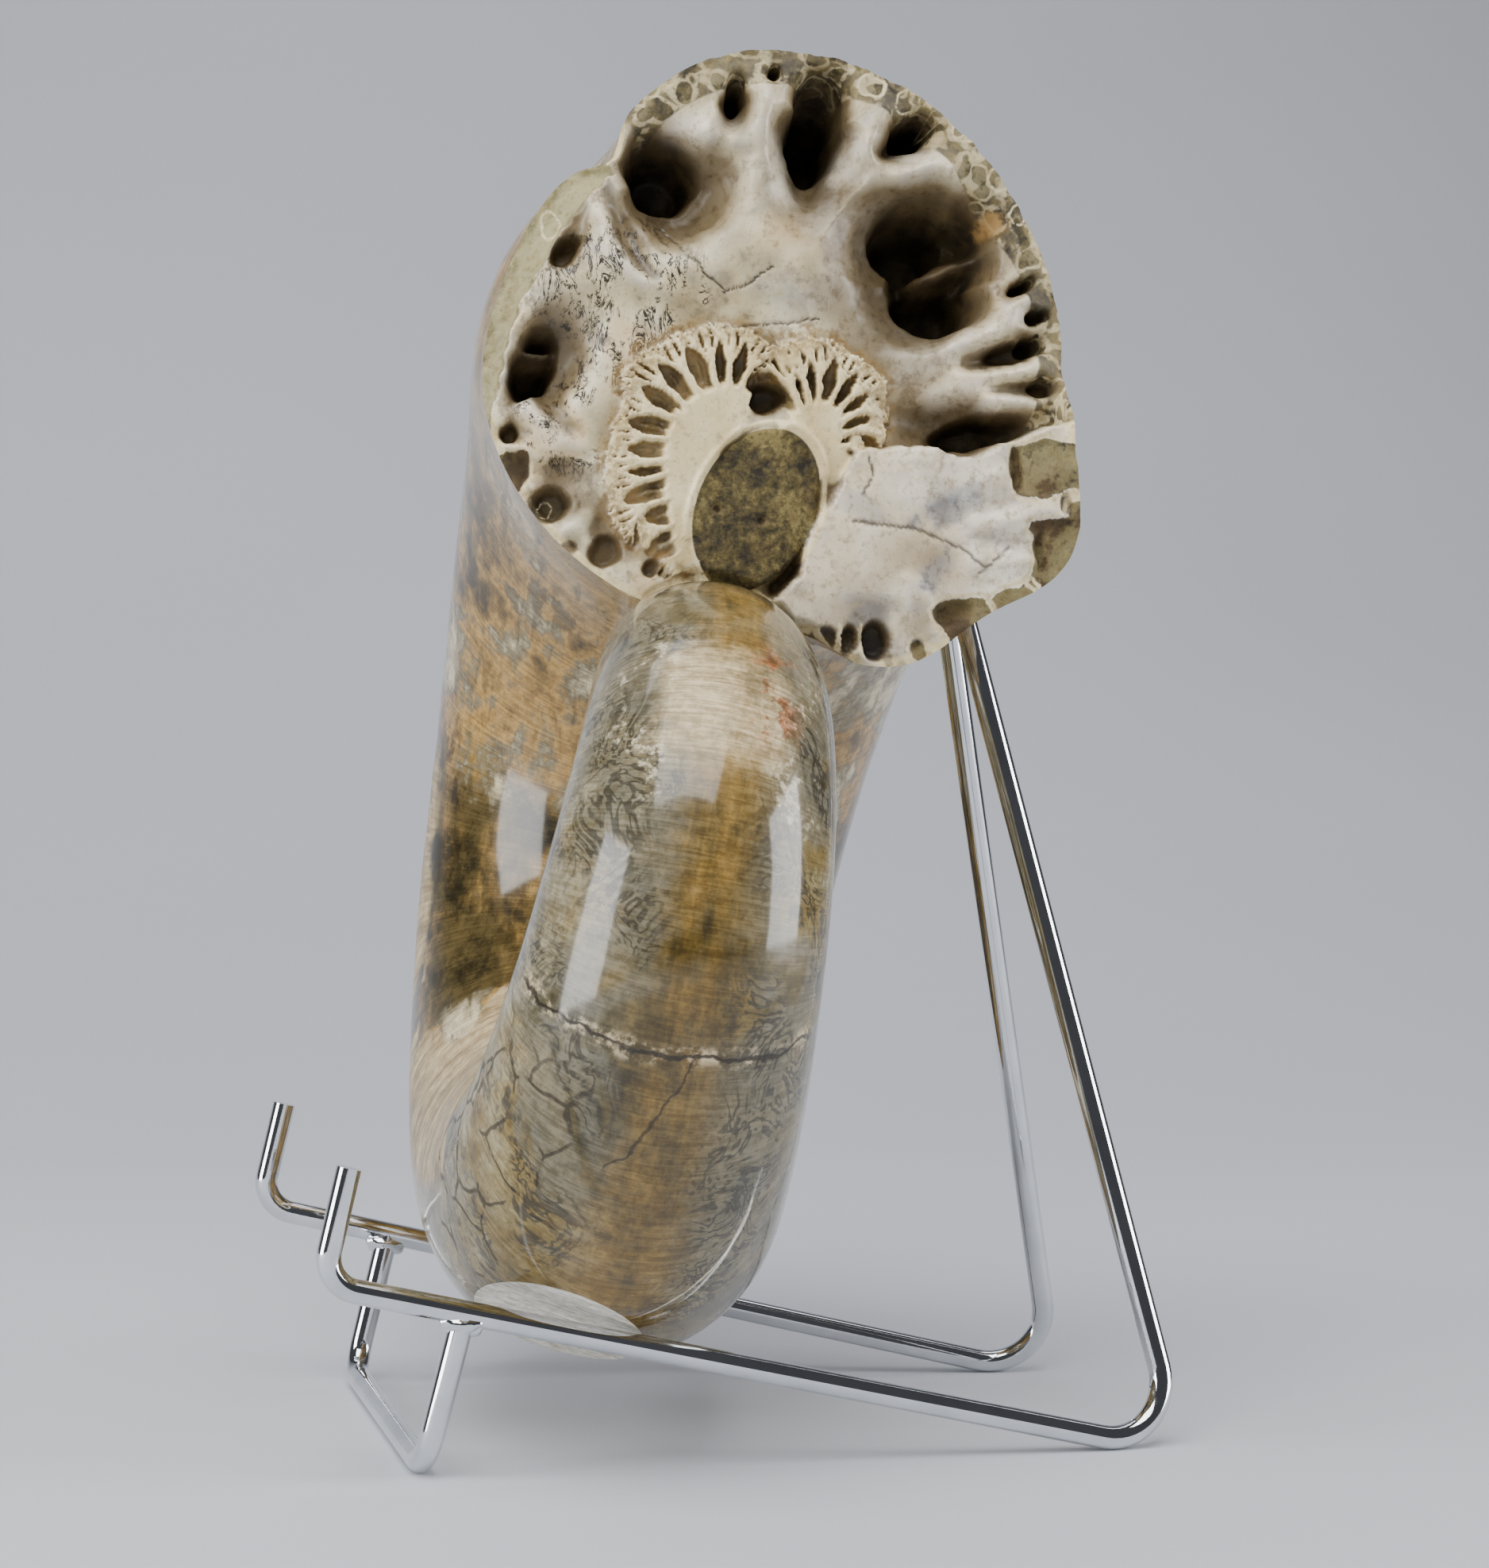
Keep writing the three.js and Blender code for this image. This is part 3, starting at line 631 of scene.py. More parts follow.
coil_angle = coil_turn * 2 * math.pi
heart = np.stack([np.sin(coil_angle), 0 * coil_angle, np.cos(coil_angle)], axis=1)
heart *= (coil_radius * whorl_growth ** coil_turn)[:, None]
near_end = rise(coil_turn * 360, -rim_swell_arc, 0)
swollen = near_end * rim_swell(coil_bearing) / whorl_half
worn = 0.5 * rumpled(coil_places, 0.022) * rise(coil_turn, -2.0, -1.2) / whorl_half
shaped = coil_places + (coil_places - heart) * (swollen + worn)[:, None]
slide = rise(coil_turn * 360, -rim_slide_arc, 0) * off_seam(coil_bearing)
slide = slide * (rim_height(coil_bearing) - rim_step) / coil_radius
shaped = slid(shaped, np.where(coil_turn > -0.5, slide, 0))


# Broken end: the coil snapped across a chamber, so its last wall, the pearly septum, lies bare. It is
# folded into tunnels at the edge, and holds the frilled lobe, a plug of rock and a shelf of the next
# chamber. Places are millimetres across the whorl and outward; ovals add half sizes and a turn.
face_rings = 124
rim_points = 792
face_dome = 3
tunnels = [
    (-30.0, 31.4, 7.6, 6.6, 12, 20), (0.8, 48.0, 5.2, 9.6, 6, 26), (-17.3, 48.9, 1.9, 3.2, 0, 12),
    (21.3, 49.4, 4.2, 3.2, 30, 14), (28.0, 29.9, 9.0, 7.4, 5, 28), (35.0, 17.0, 8.6, 7.0, 10, 26),
    (34.0, 25.4, 9.6, 12.8, -14, 17), (51.4, 8.6, 5.6, 2.2, 24, 6), (54.4, 10.4, 2.8, 2.0, 20, 10),
    (49.8, 22.4, 3.2, 1.3, 45, 8), (54.2, 16.4, 2.4, 1.4, 30, 6), (58.6, 2.0, 2.8, 1.6, 15, 7),
    (48.6, -9.0, 10.0, 3.2, 20, 15), (-5.9, -50.6, 2.2, 1.8, 0, 3),
    (-48.5, -14.7, 4.3, 7.9, -10, 18), (-50.0, -29.2, 2.0, 2.2, 0, 7), (-47.6, -37.0, 3.2, 4.2, 10, 2),
    (-39.3, -42.5, 4.4, 3.8, 30, 9), (-25.8, -49.6, 3.6, 3.2, 20, 7), (-33.3, -50.5, 1.9, 1.4, 0, 5),
    (-46.0, 10.0, 2.4, 4.4, -30, 7), (-15.5, -51.2, 2.2, 1.8, 0, 4), (-12.1, -51.4, 1.3, 1.1, 0, 4),
    (-10.1, 54.7, 1.4, 1.4, 0, 5), (0.9, -12.0, 4.4, 3.0, 15, 8), (0.2, -7.0, 1.8, 3.6, 0, 3),
    (12.2, -47.0, 2.2, 5.0, -30, 7),
]
flutes = [
    (-19.0, 26.5, 5.5, 9.0, -30, 5), (-29.0, 21.0, 9.0, 6.0, -30, 4), (0.8, 35.5, 3.0, 5.0, 0, 3.5),
    (17.0, 44.6, 4.0, 2.0, 40, 3), (44.0, 5.5, 6.0, 2.4, 20, 4), (50.0, 0.4, 7.0, 2.0, 10, 3.5),
    (35.0, -8.0, 9.0, 5.0, 12, 6), (-41.0, -14.0, 5.0, 8.0, -20, 5), (-17.0, 42.0, 2.6, 6.0, 6, 2.5),
    (22.0, 20.0, 7.0, 8.0, 0, 4), (-44.0, 17.0, 3.0, 6.0, -25, 4), (-38.0, -34.5, 6.0, 3.0, 10, 3),
    (-28.0, -43.0, 5.0, 4.0, 40, 3), (-33.4, 15.3, 8.5, 2.6, -50, 3.5), (-43.5, -20.0, 8.0, 2.4, -36, 3),
]
folds = [
    ([(22.0, -1.0), (37.5, 5.6), (44.5, 12.0), (53.5, 19.5)], 2.2, 2.6),
    ([(35.0, -4.6), (43.1, -0.9), (52.4, 3.9), (62.0, 7.4)], 2.2, 2.0),
    ([(44.0, -5.0), (52.8, -1.9), (62.0, 0.6)], 2.0, 1.7),
    ([(-4.4, 31.3), (-8.5, 37.0), (-10.7, 44.0), (-11.2, 52.4)], 2.2, 2.4),
    ([(-14.0, 36.0), (-17.9, 40.4), (-22.0, 44.0)], 1.8, 2.2),
    ([(9.5, 36.9), (12.5, 46.6), (13.7, 54.8)], 2.0, 2.0),
    ([(18.2, 38.5), (23.1, 41.3), (31.5, 42.2)], 2.2, 1.8),
    ([(-40.7, 22.2), (-37.6, 14.5), (-33.5, 9.6), (-27.5, 6.4), (-23.2, 5.0)], 1.8, 1.4),
    ([(-52.5, -16.3), (-46.2, -23.5), (-38.6, -28.1), (-34.0, -29.6)], 2.0, 1.4),
    ([(-53.5, -32.6), (-46.0, -32.4), (-41.0, -34.0)], 1.6, 0.9),
    ([(-43.6, -38.0), (-44.5, -42.0)], 1.4, 0.7),
    ([(-28.8, -40.6), (-34.0, -47.1), (-36.1, -50.3)], 1.6, 1.2),
]
deep_folds = [([(30.0, 21.5), (42.3, 29.5)], 0.45, 1.7), ([(-53.8, -12.5), (-45.4, -10.8)], 0.65, 1.2)]
ribs = [
    ((-9.3, -44.1), (-11.3, -50.0)), ((-10.9, -40.8), (-18.9, -44.1)), ((-12.6, -34.7), (-24.3, -42.4)),
    ((-13.9, -30.4), (-26.6, -35.6)), ((-14.7, -28.7), (-28.0, -30.8)), ((-15.1, -24.2), (-28.1, -25.8)),
    ((-14.5, -20.4), (-27.3, -18.3)), ((-12.2, -18.2), (-26.5, -10.9)), ((-10.8, -16.0), (-21.2, -5.2)),
    ((-8.3, -14.6), (-14.6, -1.1)), ((-6.7, -13.4), (-8.4, 0.1)), ((-5.4, -13.1), (-1.7, -1.2)),
    ((10.3, -15.4), (1.3, -2.4)), ((11.0, -14.4), (4.5, 0.0)), ((11.7, -13.3), (9.9, 1.1)),
    ((13.5, -12.9), (16.6, -0.2)), ((15.0, -13.6), (22.3, -2.8)), ((15.7, -14.8), (25.6, -7.6)),
    ((16.2, -17.0), (25.8, -13.1)), ((15.8, -19.8), (22.0, -17.5)),
]
lobe_bodies = [
    ([(-7.0, -45.6), (-9.8, -38.0), (-11.2, -29.2), (-10.2, -21.8), (-6.2, -16.8)], 4.6),
    ([(9.0, -18.5), (13.2, -19.0), (16.6, -22.5)], 4.2),
]
rib_height = 2.6
plug = (3.5, -35.0, 12.8, 18.0, -12)
plug_height = 4.5
plug_dots = [(-4.5, -36.5, 1.3, 1.0, 0, 1.2), (5.0, -37.0, 1.3, 1.0, 0, 1.2)]
shelf_edge = [
    (5.7, -57.4), (9.3, -54.3), (15.0, -47.1), (15.4, -37.4), (18.6, -29.6), (20.5, -19.0), (36.0, -15.2),
    (42.9, -16.2), (48.9, -13.2), (56.3, -8.1), (61.2, -5.4), (72.0, -1.5),
]
shelf_height = 9
shelf_tunnels = [
    (33.2, -57.7, 3.0, 3.9, 0, 12), (27.6, -58.6, 1.7, 3.3, 0, 9), (22.9, -59.5, 2.6, 3.0, 0, 7),
    (42.2, -57.6, 1.9, 2.8, 15, 3), (39.4, -61.2, 1.4, 1.2, 0, 3), (47.8, -48.6, 4.6, 2.6, 25, 4),
    (54.4, -17.0, 1.5, 5.0, 10, 4), (36.4, -60.8, 0.9, 1.6, 0, 4), (65.4, -22.0, 1.2, 2.2, 0, 3),
    (19.6, -61.0, 1.2, 1.6, 0, 4), (13.5, -57.5, 2.6, 1.4, 30, 2), (62.4, -33.0, 1.2, 4.0, 10, 2),
]
shelf_basins = [
    (41.8, -28.3, 8.0, 4.5, 12, 1.6), (42.2, -40.5, 4.5, 6.0, -20, 1.8), (30.0, -52.0, 8.0, 3.0, 0, 1.5),
]
shelf_folds = [
    ([(30.0, -20.0), (45.1, -20.5), (53.0, -18.0)], 1.3, 2.6),
    ([(48.0, -30.0), (58.0, -26.0), (64.0, -23.5)], 1.6, 1.7),
    ([(50.0, -37.0), (60.0, -35.0)], 1.2, 1.6), ([(36.8, -44.0), (36.4, -50.0), (37.0, -59.0)], 1.5, 1.4),
    ([(41.0, -46.0), (43.5, -52.5), (46.0, -56.0)], 1.4, 1.1),
]
shelf_rock = [
    [
        (52.7, -12.0), (58.0, -9.7), (66.0, -9.5), (71.0, -18.0), (64.5, -19.0), (60.8, -21.9),
        (55.3, -22.2), (53.5, -17.6),
    ],
    [
        (58.6, -27.4), (65.5, -24.3), (66.2, -20.8), (73.0, -20.0), (75.0, -36.0), (66.0, -43.0),
        (61.2, -39.4), (60.9, -31.9),
    ],
    [(42.7, -48.9), (46.5, -45.2), (53.0, -43.9), (57.5, -48.5), (50.0, -57.0), (45.4, -51.7)],
    [(54.0, -43.6), (61.2, -39.0), (66.0, -43.5), (57.6, -48.0)],
    [(40.1, -56.1), (41.8, -54.5), (44.2, -57.8), (43.0, -60.1), (41.2, -59.2)],
]
edge_rock = [
    (-51.5, -34.8), (-49.6, -33.1), (-45.3, -32.5), (-44.2, -36.7), (-45.6, -42.0), (-47.8, -41.0),
    (-52.5, -39.5),
]
struts = [
    [(29.5, -54.5), (30.4, -63.0)], [(25.2, -55.5), (26.0, -64.0)], [(20.9, -56.6), (25.7, -62.5)],
    [(-8.6, -49.6), (-6.9, -47.7), (-4.0, -52.0)], [(-12.7, -53.0), (-11.1, -49.6)],
    [(-18.0, -50.0), (-19.0, -54.0)],
]
loops = [
    (-49.9, 16.8, 1.8, 3.4, 12), (-39.4, -42.6, 1.3, 1.9, 10), (10.5, 56.0, 2.9, 2.2, -15),
    (18.3, 54.6, 2.3, 2.0, -20), (30.7, 50.0, 2.4, 1.9, -35), (40.2, 42.6, 2.4, 2.0, -45),
    (46.0, 36.5, 2.0, 1.5, -50), (24.5, 52.2, 1.6, 1.3, 0),
]
# Grey-blue lines with their widths: on the septum a grey-blue stain, on the shelf painted shade in its
# hollows.
stain_and_shade_lines = [
    ([(-2.9, 12.7), (7.8, 11.5)], 4.5), ([(7.6, 31.5), (9.9, 28.6), (9.4, 18.5)], 3.0),
    ([(36.9, -31.7), (41.8, -27.4), (45.5, -24.0)], 2.3), ([(40.5, -43.5), (42.6, -38.5)], 2.4),
]
# Lines painted pale as highlights where the septum's lustre catches the light, with their widths.
highlight_lines = [
    ([(-26.9, 39.6), (-17.1, 40.8)], 2.0), ([(-3.5, 31.0), (-7.5, 39.0)], 2.2),
    ([(21.0, 43.1), (30.3, 43.3)], 1.8), ([(7.8, 37.8), (11.0, 44.5)], 1.8),
    ([(43.0, -21.0), (51.0, -17.2)], 1.7), ([(36.8, -45.5), (36.2, -53.0)], 1.2),
    ([(48.5, -29.6), (56.0, -26.6)], 1.6), ([(36.0, -4.0), (46.0, 0.8)], 1.6),
    ([(47.0, -3.6), (54.0, -1.6)], 1.2), ([(36.0, 4.6), (44.0, 10.8), (50.0, 16.0)], 1.4),
    ([(-41.5, 22.0), (-38.2, 14.3), (-34.1, 9.4), (-28.0, 6.0)], 1.0),
    ([(-53.2, -16.6), (-46.6, -23.8), (-38.8, -28.4)], 1.0),
]
shadow_lines = [
    ([(-39.6, 25.0), (-36.2, 16.4), (-32.2, 11.4), (-26.4, 8.4)], 1.1),
    ([(-51.4, -14.6), (-45.2, -21.8), (-37.6, -26.2)], 1.1),
]
shelf_cracks = [
    [(23.2, -33.5), (28.7, -33.8), (34.0, -32.7), (41.5, -33.5), (46.5, -35.2), (51.6, -37.7)],
    [(49.8, -40.1), (56.2, -33.3)], [(24.0, -20.0), (25.5, -24.0), (24.5, -28.0)],
]
septum_cracks = [
    [(-11.8, 7.6), (-6.8, 10.5), (-3.0, 14.5)], [(-10.2, -0.2), (-3.4, 2.5), (3.6, 4.6), (8.9, 6.0)],
    [(-27.0, 20.0), (-21.0, 14.0), (-14.0, 9.5), (-11.8, 7.6)],
]
shelf_crack_width, septum_crack_width = 0.34, 0.22
speck_spots = [(-34, 4, 12), (-38, -24, 8), (-24, -1, 6)]
rust_spot, ochre_spot = (41.5, 34.6), (-0.9, 22)
rock_line = [  # bearing and reach of the inner edge of the rock left along the worn shoulder
    (-125, 66), (-120, 61), (-113, 58.2), (-102, 54.6), (-92, 52.5), (-81, 50), (-74, 49.7), (-63, 48.3),
    (-53, 48.4), (-47, 58), (-40, 66),
]


def oval(p, q, at):
    c, s = math.cos(math.radians(at[4])), math.sin(math.radians(at[4]))
    x, y = p - at[0], q - at[1]
    return np.hypot((x * c + y * s) / at[2], (y * c - x * s) / at[3])


def to_line(p, q, line):
    """Distance to a line of points."""
    best = np.full(p.shape, 1e9)
    for (ap, aq), (bp, bq) in zip(line, line[1:]):
        ep, eq = bp - ap, bq - aq
        t = np.clip(((p - ap) * ep + (q - aq) * eq) / (ep * ep + eq * eq), 0, 1)
        best = np.minimum(best, np.hypot(p - ap - t * ep, q - aq - t * eq))
    return best


def within(p, q, ring):
    inside = np.zeros(p.shape, bool)
    for (ap, aq), (bp, bq) in zip(ring, ring[1:] + ring[:1]):
        if aq != bq:
            inside ^= ((aq > q) != (bq > q)) & (p < ap + (q - aq) * (bp - ap) / (bq - aq))
    return inside


def branches(start, tip, width, left):
    """A rib of the lobe with its side ribs, each splitting again, as lines with half widths."""
    a, b = Vector(start), Vector(tip)
    lines = [(start, tip, width)]
    if left:
        for side in (-1, 1):
            root = a.lerp(b, 0.5)
            reach = (b - a) * 0.55
            reach.rotate(Matrix.Rotation(side * 0.42, 2))
            lines += branches(tuple(root), tuple(root + reach), width * 0.66, left - 1)
    return lines


def face_outline(angle):
    """How far the face reaches: to the whorl's own surface, or below to the turn that it wraps."""
    bearing = np.degrees(angle)
    reach = whorl_half + rim_swell(bearing)
    middle = np.cos(angle) * whorls_apart
    inner = middle**2 - whorls_apart**2 + inner_half**2
    onto = np.where((inner > 0) & (middle < 0), -middle - np.sqrt(np.maximum(inner, 0)), 1e9)
    return np.minimum(reach, onto - 0.6)


def dug(p, q, at):
    """A tunnel, steep outside and funnelled towards the middle: its depth, the painted shade inside it and
    the painted shade of its funnel.
    """
    d = oval(p, q, at)
    x, y = p - at[0], q - at[1]
    inward = np.clip(-(x * at[0] + y * at[1]) / (math.hypot(at[0], at[1]) * np.hypot(x, y) + 1e-6), 0, 1)
    wall = 1 - rise(d / (1 + 0.3 * inward), 0.55, 1.1)
    funnel = d / (1 + 1.2 * inward)
    mouth = (1 - rise(funnel, 0.4, 1.7)) ** 1.5
    dark = 1 - rise(d / (1 + 0.35 * inward), 0.62, 1.2)
    return at[5] * (0.7 * wall + 0.3 * mouth), dark, 1 - rise(funnel, 0.5, 1.75)


def broken_face(p, q, share, bearing):
    """Height of the face along the spiral, and where each of its stuffs lies."""
    flat = np.stack([p, q, 0 * p], axis=1)
    soft, fine = rumpled(flat, 0.06), rumpled(flat, 0.35)
    smooth_p, smooth_q = p, q
    wavy_p, wavy_q = rumpled(flat + 40, 0.16), rumpled(flat + 80, 0.16)
    p, q = p + 0.6 * wavy_p, q + 0.6 * wavy_q
    height = face_dome * (1 - share**2) + 0.35 * soft
    for line, up, wide in folds:
        middle, length = np.mean(line, axis=0), math.dist(line[0], line[-1])
        fade = 1 - rise(np.hypot(p - middle[0], q - middle[1]) / length, 0.25, 0.62)
        height += up * fade * bell(to_line(p, q, line), 0, wide)
    for at in flutes:
        height -= at[5] * (1 - rise(oval(p, q, at), 0.0, 1.7))

    rib, near_rib, tipward = np.zeros_like(p), np.full(p.shape, 9.0), np.zeros_like(p)
    for start, tip in ribs:
        run = np.subtract(tip, start)
        along = ((p - start[0]) * run[0] + (q - start[1]) * run[1]) / (run @ run)
        for a, b, wide in branches(start, tip, 1.05, 3):
            d = to_line(p, q, [a, b])
            rib = np.maximum(rib, 1 - rise(d, 0.45 * wide, 1.05 * wide))
            tipward = np.where(d - wide < near_rib, along, tipward)
            near_rib = np.minimum(near_rib, d - wide)
    for line, wide in lobe_bodies:
        rib = np.maximum(rib, 1 - rise(to_line(p, q, line), 0.75 * wide, 1.25 * wide))
    palm = (1 - rise(tipward, 0.12, 0.34)) * rise(tipward, -0.5, -0.3) * (1 - rise(near_rib, 1.6, 2.6))
    rib = np.maximum(rib, palm)
    gap = (1 - rise(near_rib, 0.8, 2.0)) * (1 - rib)
    fringe = gap * band(tipward, 0.6, 1.0, 0.1)
    tip = rise(tipward, 0.62, 1.0) * (1 - rise(near_rib, 1.2, 2.4))
    gap = gap * (1 - rise(tipward, 0.5, 0.75))
    height += rib_height * rib * (1 - 0.5 * rise(tipward, 0.45, 1)) - 1.7 * gap - 0.7 * fringe

    hollow, depth, shade = np.zeros_like(p), np.zeros_like(p), np.zeros_like(p)
    # Each tunnel is painted dark inside as shade, darker the deeper it is, and brown down its funnel as
    # shade.
    for at in tunnels:
        cut, dark, dim = dug(p, q, at)
        depth = np.maximum(depth, cut)
        hollow = np.maximum(hollow, dark * min(1, 0.36 + at[5] / 20))
        shade = np.maximum(shade, dim * min(1, at[5] / 15))
    for line, wide in shadow_lines:
        shade = np.maximum(shade, 0.8 * bell(to_line(p, q, line), 0, wide))
    for line, up, wide in deep_folds:
        ridge = up * bell(to_line(p, q, line), 0, wide)
        depth, hollow = depth * (1 - ridge), hollow * (1 - ridge)
    form = height - np.minimum(depth, 2.5) * (1 - 0.9 * rib)
    height -= depth * (1 - 0.9 * rib)
    hollow = hollow * (1 - rib)

    plug_reach = oval(smooth_p, smooth_q, plug)
    on_plug = 1 - rise(plug_reach, 0.93, 1.0)
    dots = np.zeros_like(p)
    for at in plug_dots:
        dots = np.maximum(dots, 1 - rise(oval(p, q, at), 0.5, 1.1))
    plug_rim = bell(plug_reach, 1.04, 0.035) * (q > -44)
    height = height * (1 - on_plug) + on_plug * (plug_height + 0.5 * fine - 1.2 * dots)
    height += 1.2 * plug_rim
    # The plug's two dots, sunk a little, are darkened by the same mark.
    hollow = hollow * (1 - on_plug) + 0.9 * dots
    gap, fringe = gap * (1 - on_plug), fringe * (1 - on_plug)

    line = np.array(rock_line)
    rock_from = np.interp(bearing, line[:, 0], line[:, 1], left=99, right=99)
    rocky = rise(np.hypot(p, q) + 0.8 * fine, rock_from - 0.8, rock_from + 0.8)
    height = height * (1 - rocky) + rocky * (rim_height(bearing) * rise(share, 0.72, 0.98) + 0.7 * fine)
    rim_from = 0.885 + 0.025 * rise(bearing, 50, 80)
    rim_band = rise(share + 0.014 * soft, rim_from - 0.02, rim_from + 0.02) * band(bearing, -44, 150, 4)
    rock = np.maximum(on_plug, rocky)

    edge = to_line(p, q, shelf_edge)
    ring = shelf_edge + [(95.0, -1.5), (95.0, -95.0), (5.7, -95.0)]
    inside = np.where(within(p, q, ring), edge, -edge) + 0.5 * fine
    on_shelf = rise(inside, -0.5, 0.6)
    shelf = shelf_height - 2.2 * (1 - rise(inside, 0, 12))
    shelf = shelf + (shelf_ahead - shelf_height) * share + 0.6 * soft
    for line, up, wide in shelf_folds:
        shelf += up * bell(to_line(p, q, line), 0, wide)
    for at in shelf_basins:
        shelf -= at[5] * (1 - rise(oval(p, q, at), 0.0, 1.4))
    shelf_hollow_shade, shelf_rocky, crack = np.zeros_like(p), np.zeros_like(p), np.zeros_like(p)
    # The shelf's tunnels are painted dark inside as shade.
    for at in shelf_tunnels:
        cut, dark, _ = dug(p, q, at)
        shelf = shelf - cut
        shelf_hollow_shade = np.maximum(shelf_hollow_shade, dark * min(1, at[5] / 8))
    line_mark = np.zeros_like(p)
    for patch in shelf_rock + [edge_rock]:
        border = to_line(p, q, patch + patch[:1])
        border = np.where(within(p, q, patch), border, -border) + 0.5 * fine
        shelf_rocky = np.maximum(shelf_rocky, rise(border, -0.2, 0.4))
        line_mark = np.maximum(line_mark, bell(border, -0.6, 0.35))
        shelf -= 0.8 * rise(border, 0, 1.5)
    strutted = np.zeros_like(p)
    for line in struts:
        strutted = np.maximum(strutted, 1 - rise(to_line(p, q, line), 0.35, 0.75))
    for at in loops:
        reach = oval(p + 0.9 * wavy_q, q + 0.9 * wavy_p, at)
        line_mark = np.maximum(line_mark, 0.8 * bell(reach, 1, 0.13))
    line_mark = np.maximum(line_mark, strutted)
    shelf_hollow_shade, hollow = shelf_hollow_shade * (1 - strutted), hollow * (1 - strutted)
    shelf = np.maximum(shelf, (shelf_height - 1) * strutted)
    height = height * (1 - on_shelf) + shelf * on_shelf
    form = form * (1 - on_shelf) + np.maximum(shelf, shelf_height - 4) * on_shelf
    hollow = hollow * (1 - on_shelf) + shelf_hollow_shade * on_shelf
    rock = np.maximum(rock, shelf_rocky) * (1 - on_shelf) + shelf_rocky * on_shelf
    rib, gap = rib * (1 - on_shelf), gap * (1 - on_shelf)
    for line in shelf_cracks + septum_cracks:
        wide = shelf_crack_width if line in shelf_cracks else septum_crack_width
        away = to_line(p + 0.5 * fine, q + 0.5 * soft, line)
        crack = np.maximum(crack, 1 - rise(away, 0.5 * wide, 1.4 * wide))
    height -= 0.5 * crack + 0.25 * fine * rock

    foot = rise(np.abs(bearing), dorsal_deg - 14, dorsal_deg)
    rim = rim_height(bearing) - 1.2 * foot
    height = height + (rim - height) * rise(share, 0.955, 1)
    marks = {
        "hollow": hollow, "rib": rib, "gap": gap, "rock": rock, "rim_band": rim_band * (1 - on_shelf),
        "fringe": fringe * (1 - on_shelf),
        "shade": shade * (1 - on_shelf) * (1 - on_plug),
        "shelf": on_shelf, "crack": crack, "edge": rise(share, 0.962, 0.985) * (1 - rocky),
        "rust": bell(np.hypot(p - rust_spot[0], (q - rust_spot[1]) * 1.3), 0, 2.6),
        "shoulder": rocky, "line": line_mark,
        "tip": tip * (1 - on_shelf) * (1 - on_plug),
        "ochre": bell(np.hypot(p - ochre_spot[0], q - ochre_spot[1]), 0, 4.5),
        "tan": (1 - rise(inside, 1, 13)) * on_shelf,
        "specks": sum(bell(np.hypot(p - a, q - b), 0, spread) for a, b, spread in speck_spots),
        "haze": np.max([bell(to_line(p, q, line), 0, wide) for line, wide in stain_and_shade_lines], axis=0),
        "pearl": np.max([bell(to_line(p, q, line), 0, wide) for line, wide in highlight_lines], axis=0),
        "plug_rim": plug_rim, "form": form,
    }
    return height, marks


def strip(outer, inner):
    """Triangles between two closed loops of (share of the way round, point number)."""
    faces, i, k = [], 0, 0
    ends = [loop + [(1 + loop[0][0], loop[0][1])] for loop in (outer, inner)]
    while i < len(outer) or k < len(inner):
        a, b = ends[0][i][1], ends[1][k][1]
        if i < len(outer) and (k >= len(inner) or ends[0][i + 1][0] <= ends[1][k + 1][0]):
            faces.append((a, b, ends[0][i + 1][1]))
            i += 1
        else:
            faces.append((a, b, ends[1][k + 1][1]))
            k += 1
    return faces


ring_sizes = [1] + [max(6, round(rim_points * k / face_rings)) for k in range(1, face_rings + 1)]
share = np.concatenate([np.full(n, k / face_rings) for k, n in enumerate(ring_sizes)])
way_round = np.concatenate([np.arange(n) / n for n in ring_sizes])
angle = (way_round + 0.5) % 1 * 2 * math.pi - math.pi
reach = share * face_outline(angle)
face_p, face_q = reach * np.sin(angle), reach * whorl_height * np.cos(angle)
face_bearing = np.degrees(angle)
face_height, face_marks = broken_face(face_p, face_q, share, face_bearing)
face_flat = np.stack([face_p, face_q, 0 * share], axis=1)
chips = rise(share, 0.97, 1) * rumpled(face_flat, 0.22) * off_seam(face_bearing)
face_upright = np.stack([0 * share, face_p, coil_radius + face_q], axis=1)
face_places = slid(face_upright, (face_height + chips) / coil_radius)

first_face_point = len(shaped)
rings, start = [], first_face_point
for n in ring_sizes:
    rings.append([(k / n, start + k) for k in range(n)])
    start += n
first_ring = [point for _, point in rings[1]]
face_faces = [(a, first_face_point, b) for a, b in zip(first_ring, first_ring[1:] + first_ring[:1])]
for inner_ring, outer_ring in zip(rings[1:], rings[2:]):
    face_faces += strip(outer_ring, inner_ring)

# Crests and ridges are painted pale as highlights, and creases and valleys painted dark as shade. They show
# against the smoothed-out face, the fine ones after a little smoothing and the broad ones after more.
near = np.array(face_faces) - first_face_point
near_from, near_to = near.T.ravel(), near[:, [1, 2, 0]].T.ravel()
form = face_marks.pop("form")
smoothed = form.copy()
neighbours = np.bincount(near_to, minlength=len(form))
for up, down, steps, full in (("crest", "crease", 70, 1.5), ("ridge", "valley", 330, 2.4)):
    for step in range(steps):
        total = np.bincount(near_to, smoothed[near_from], len(form)) / neighbours
        smoothed = 0.3 * smoothed + 0.7 * total
    face_marks[up] = np.clip((form - smoothed) / full, 0, 1)
    face_marks[down] = np.clip((smoothed - form) / full, 0, 1)

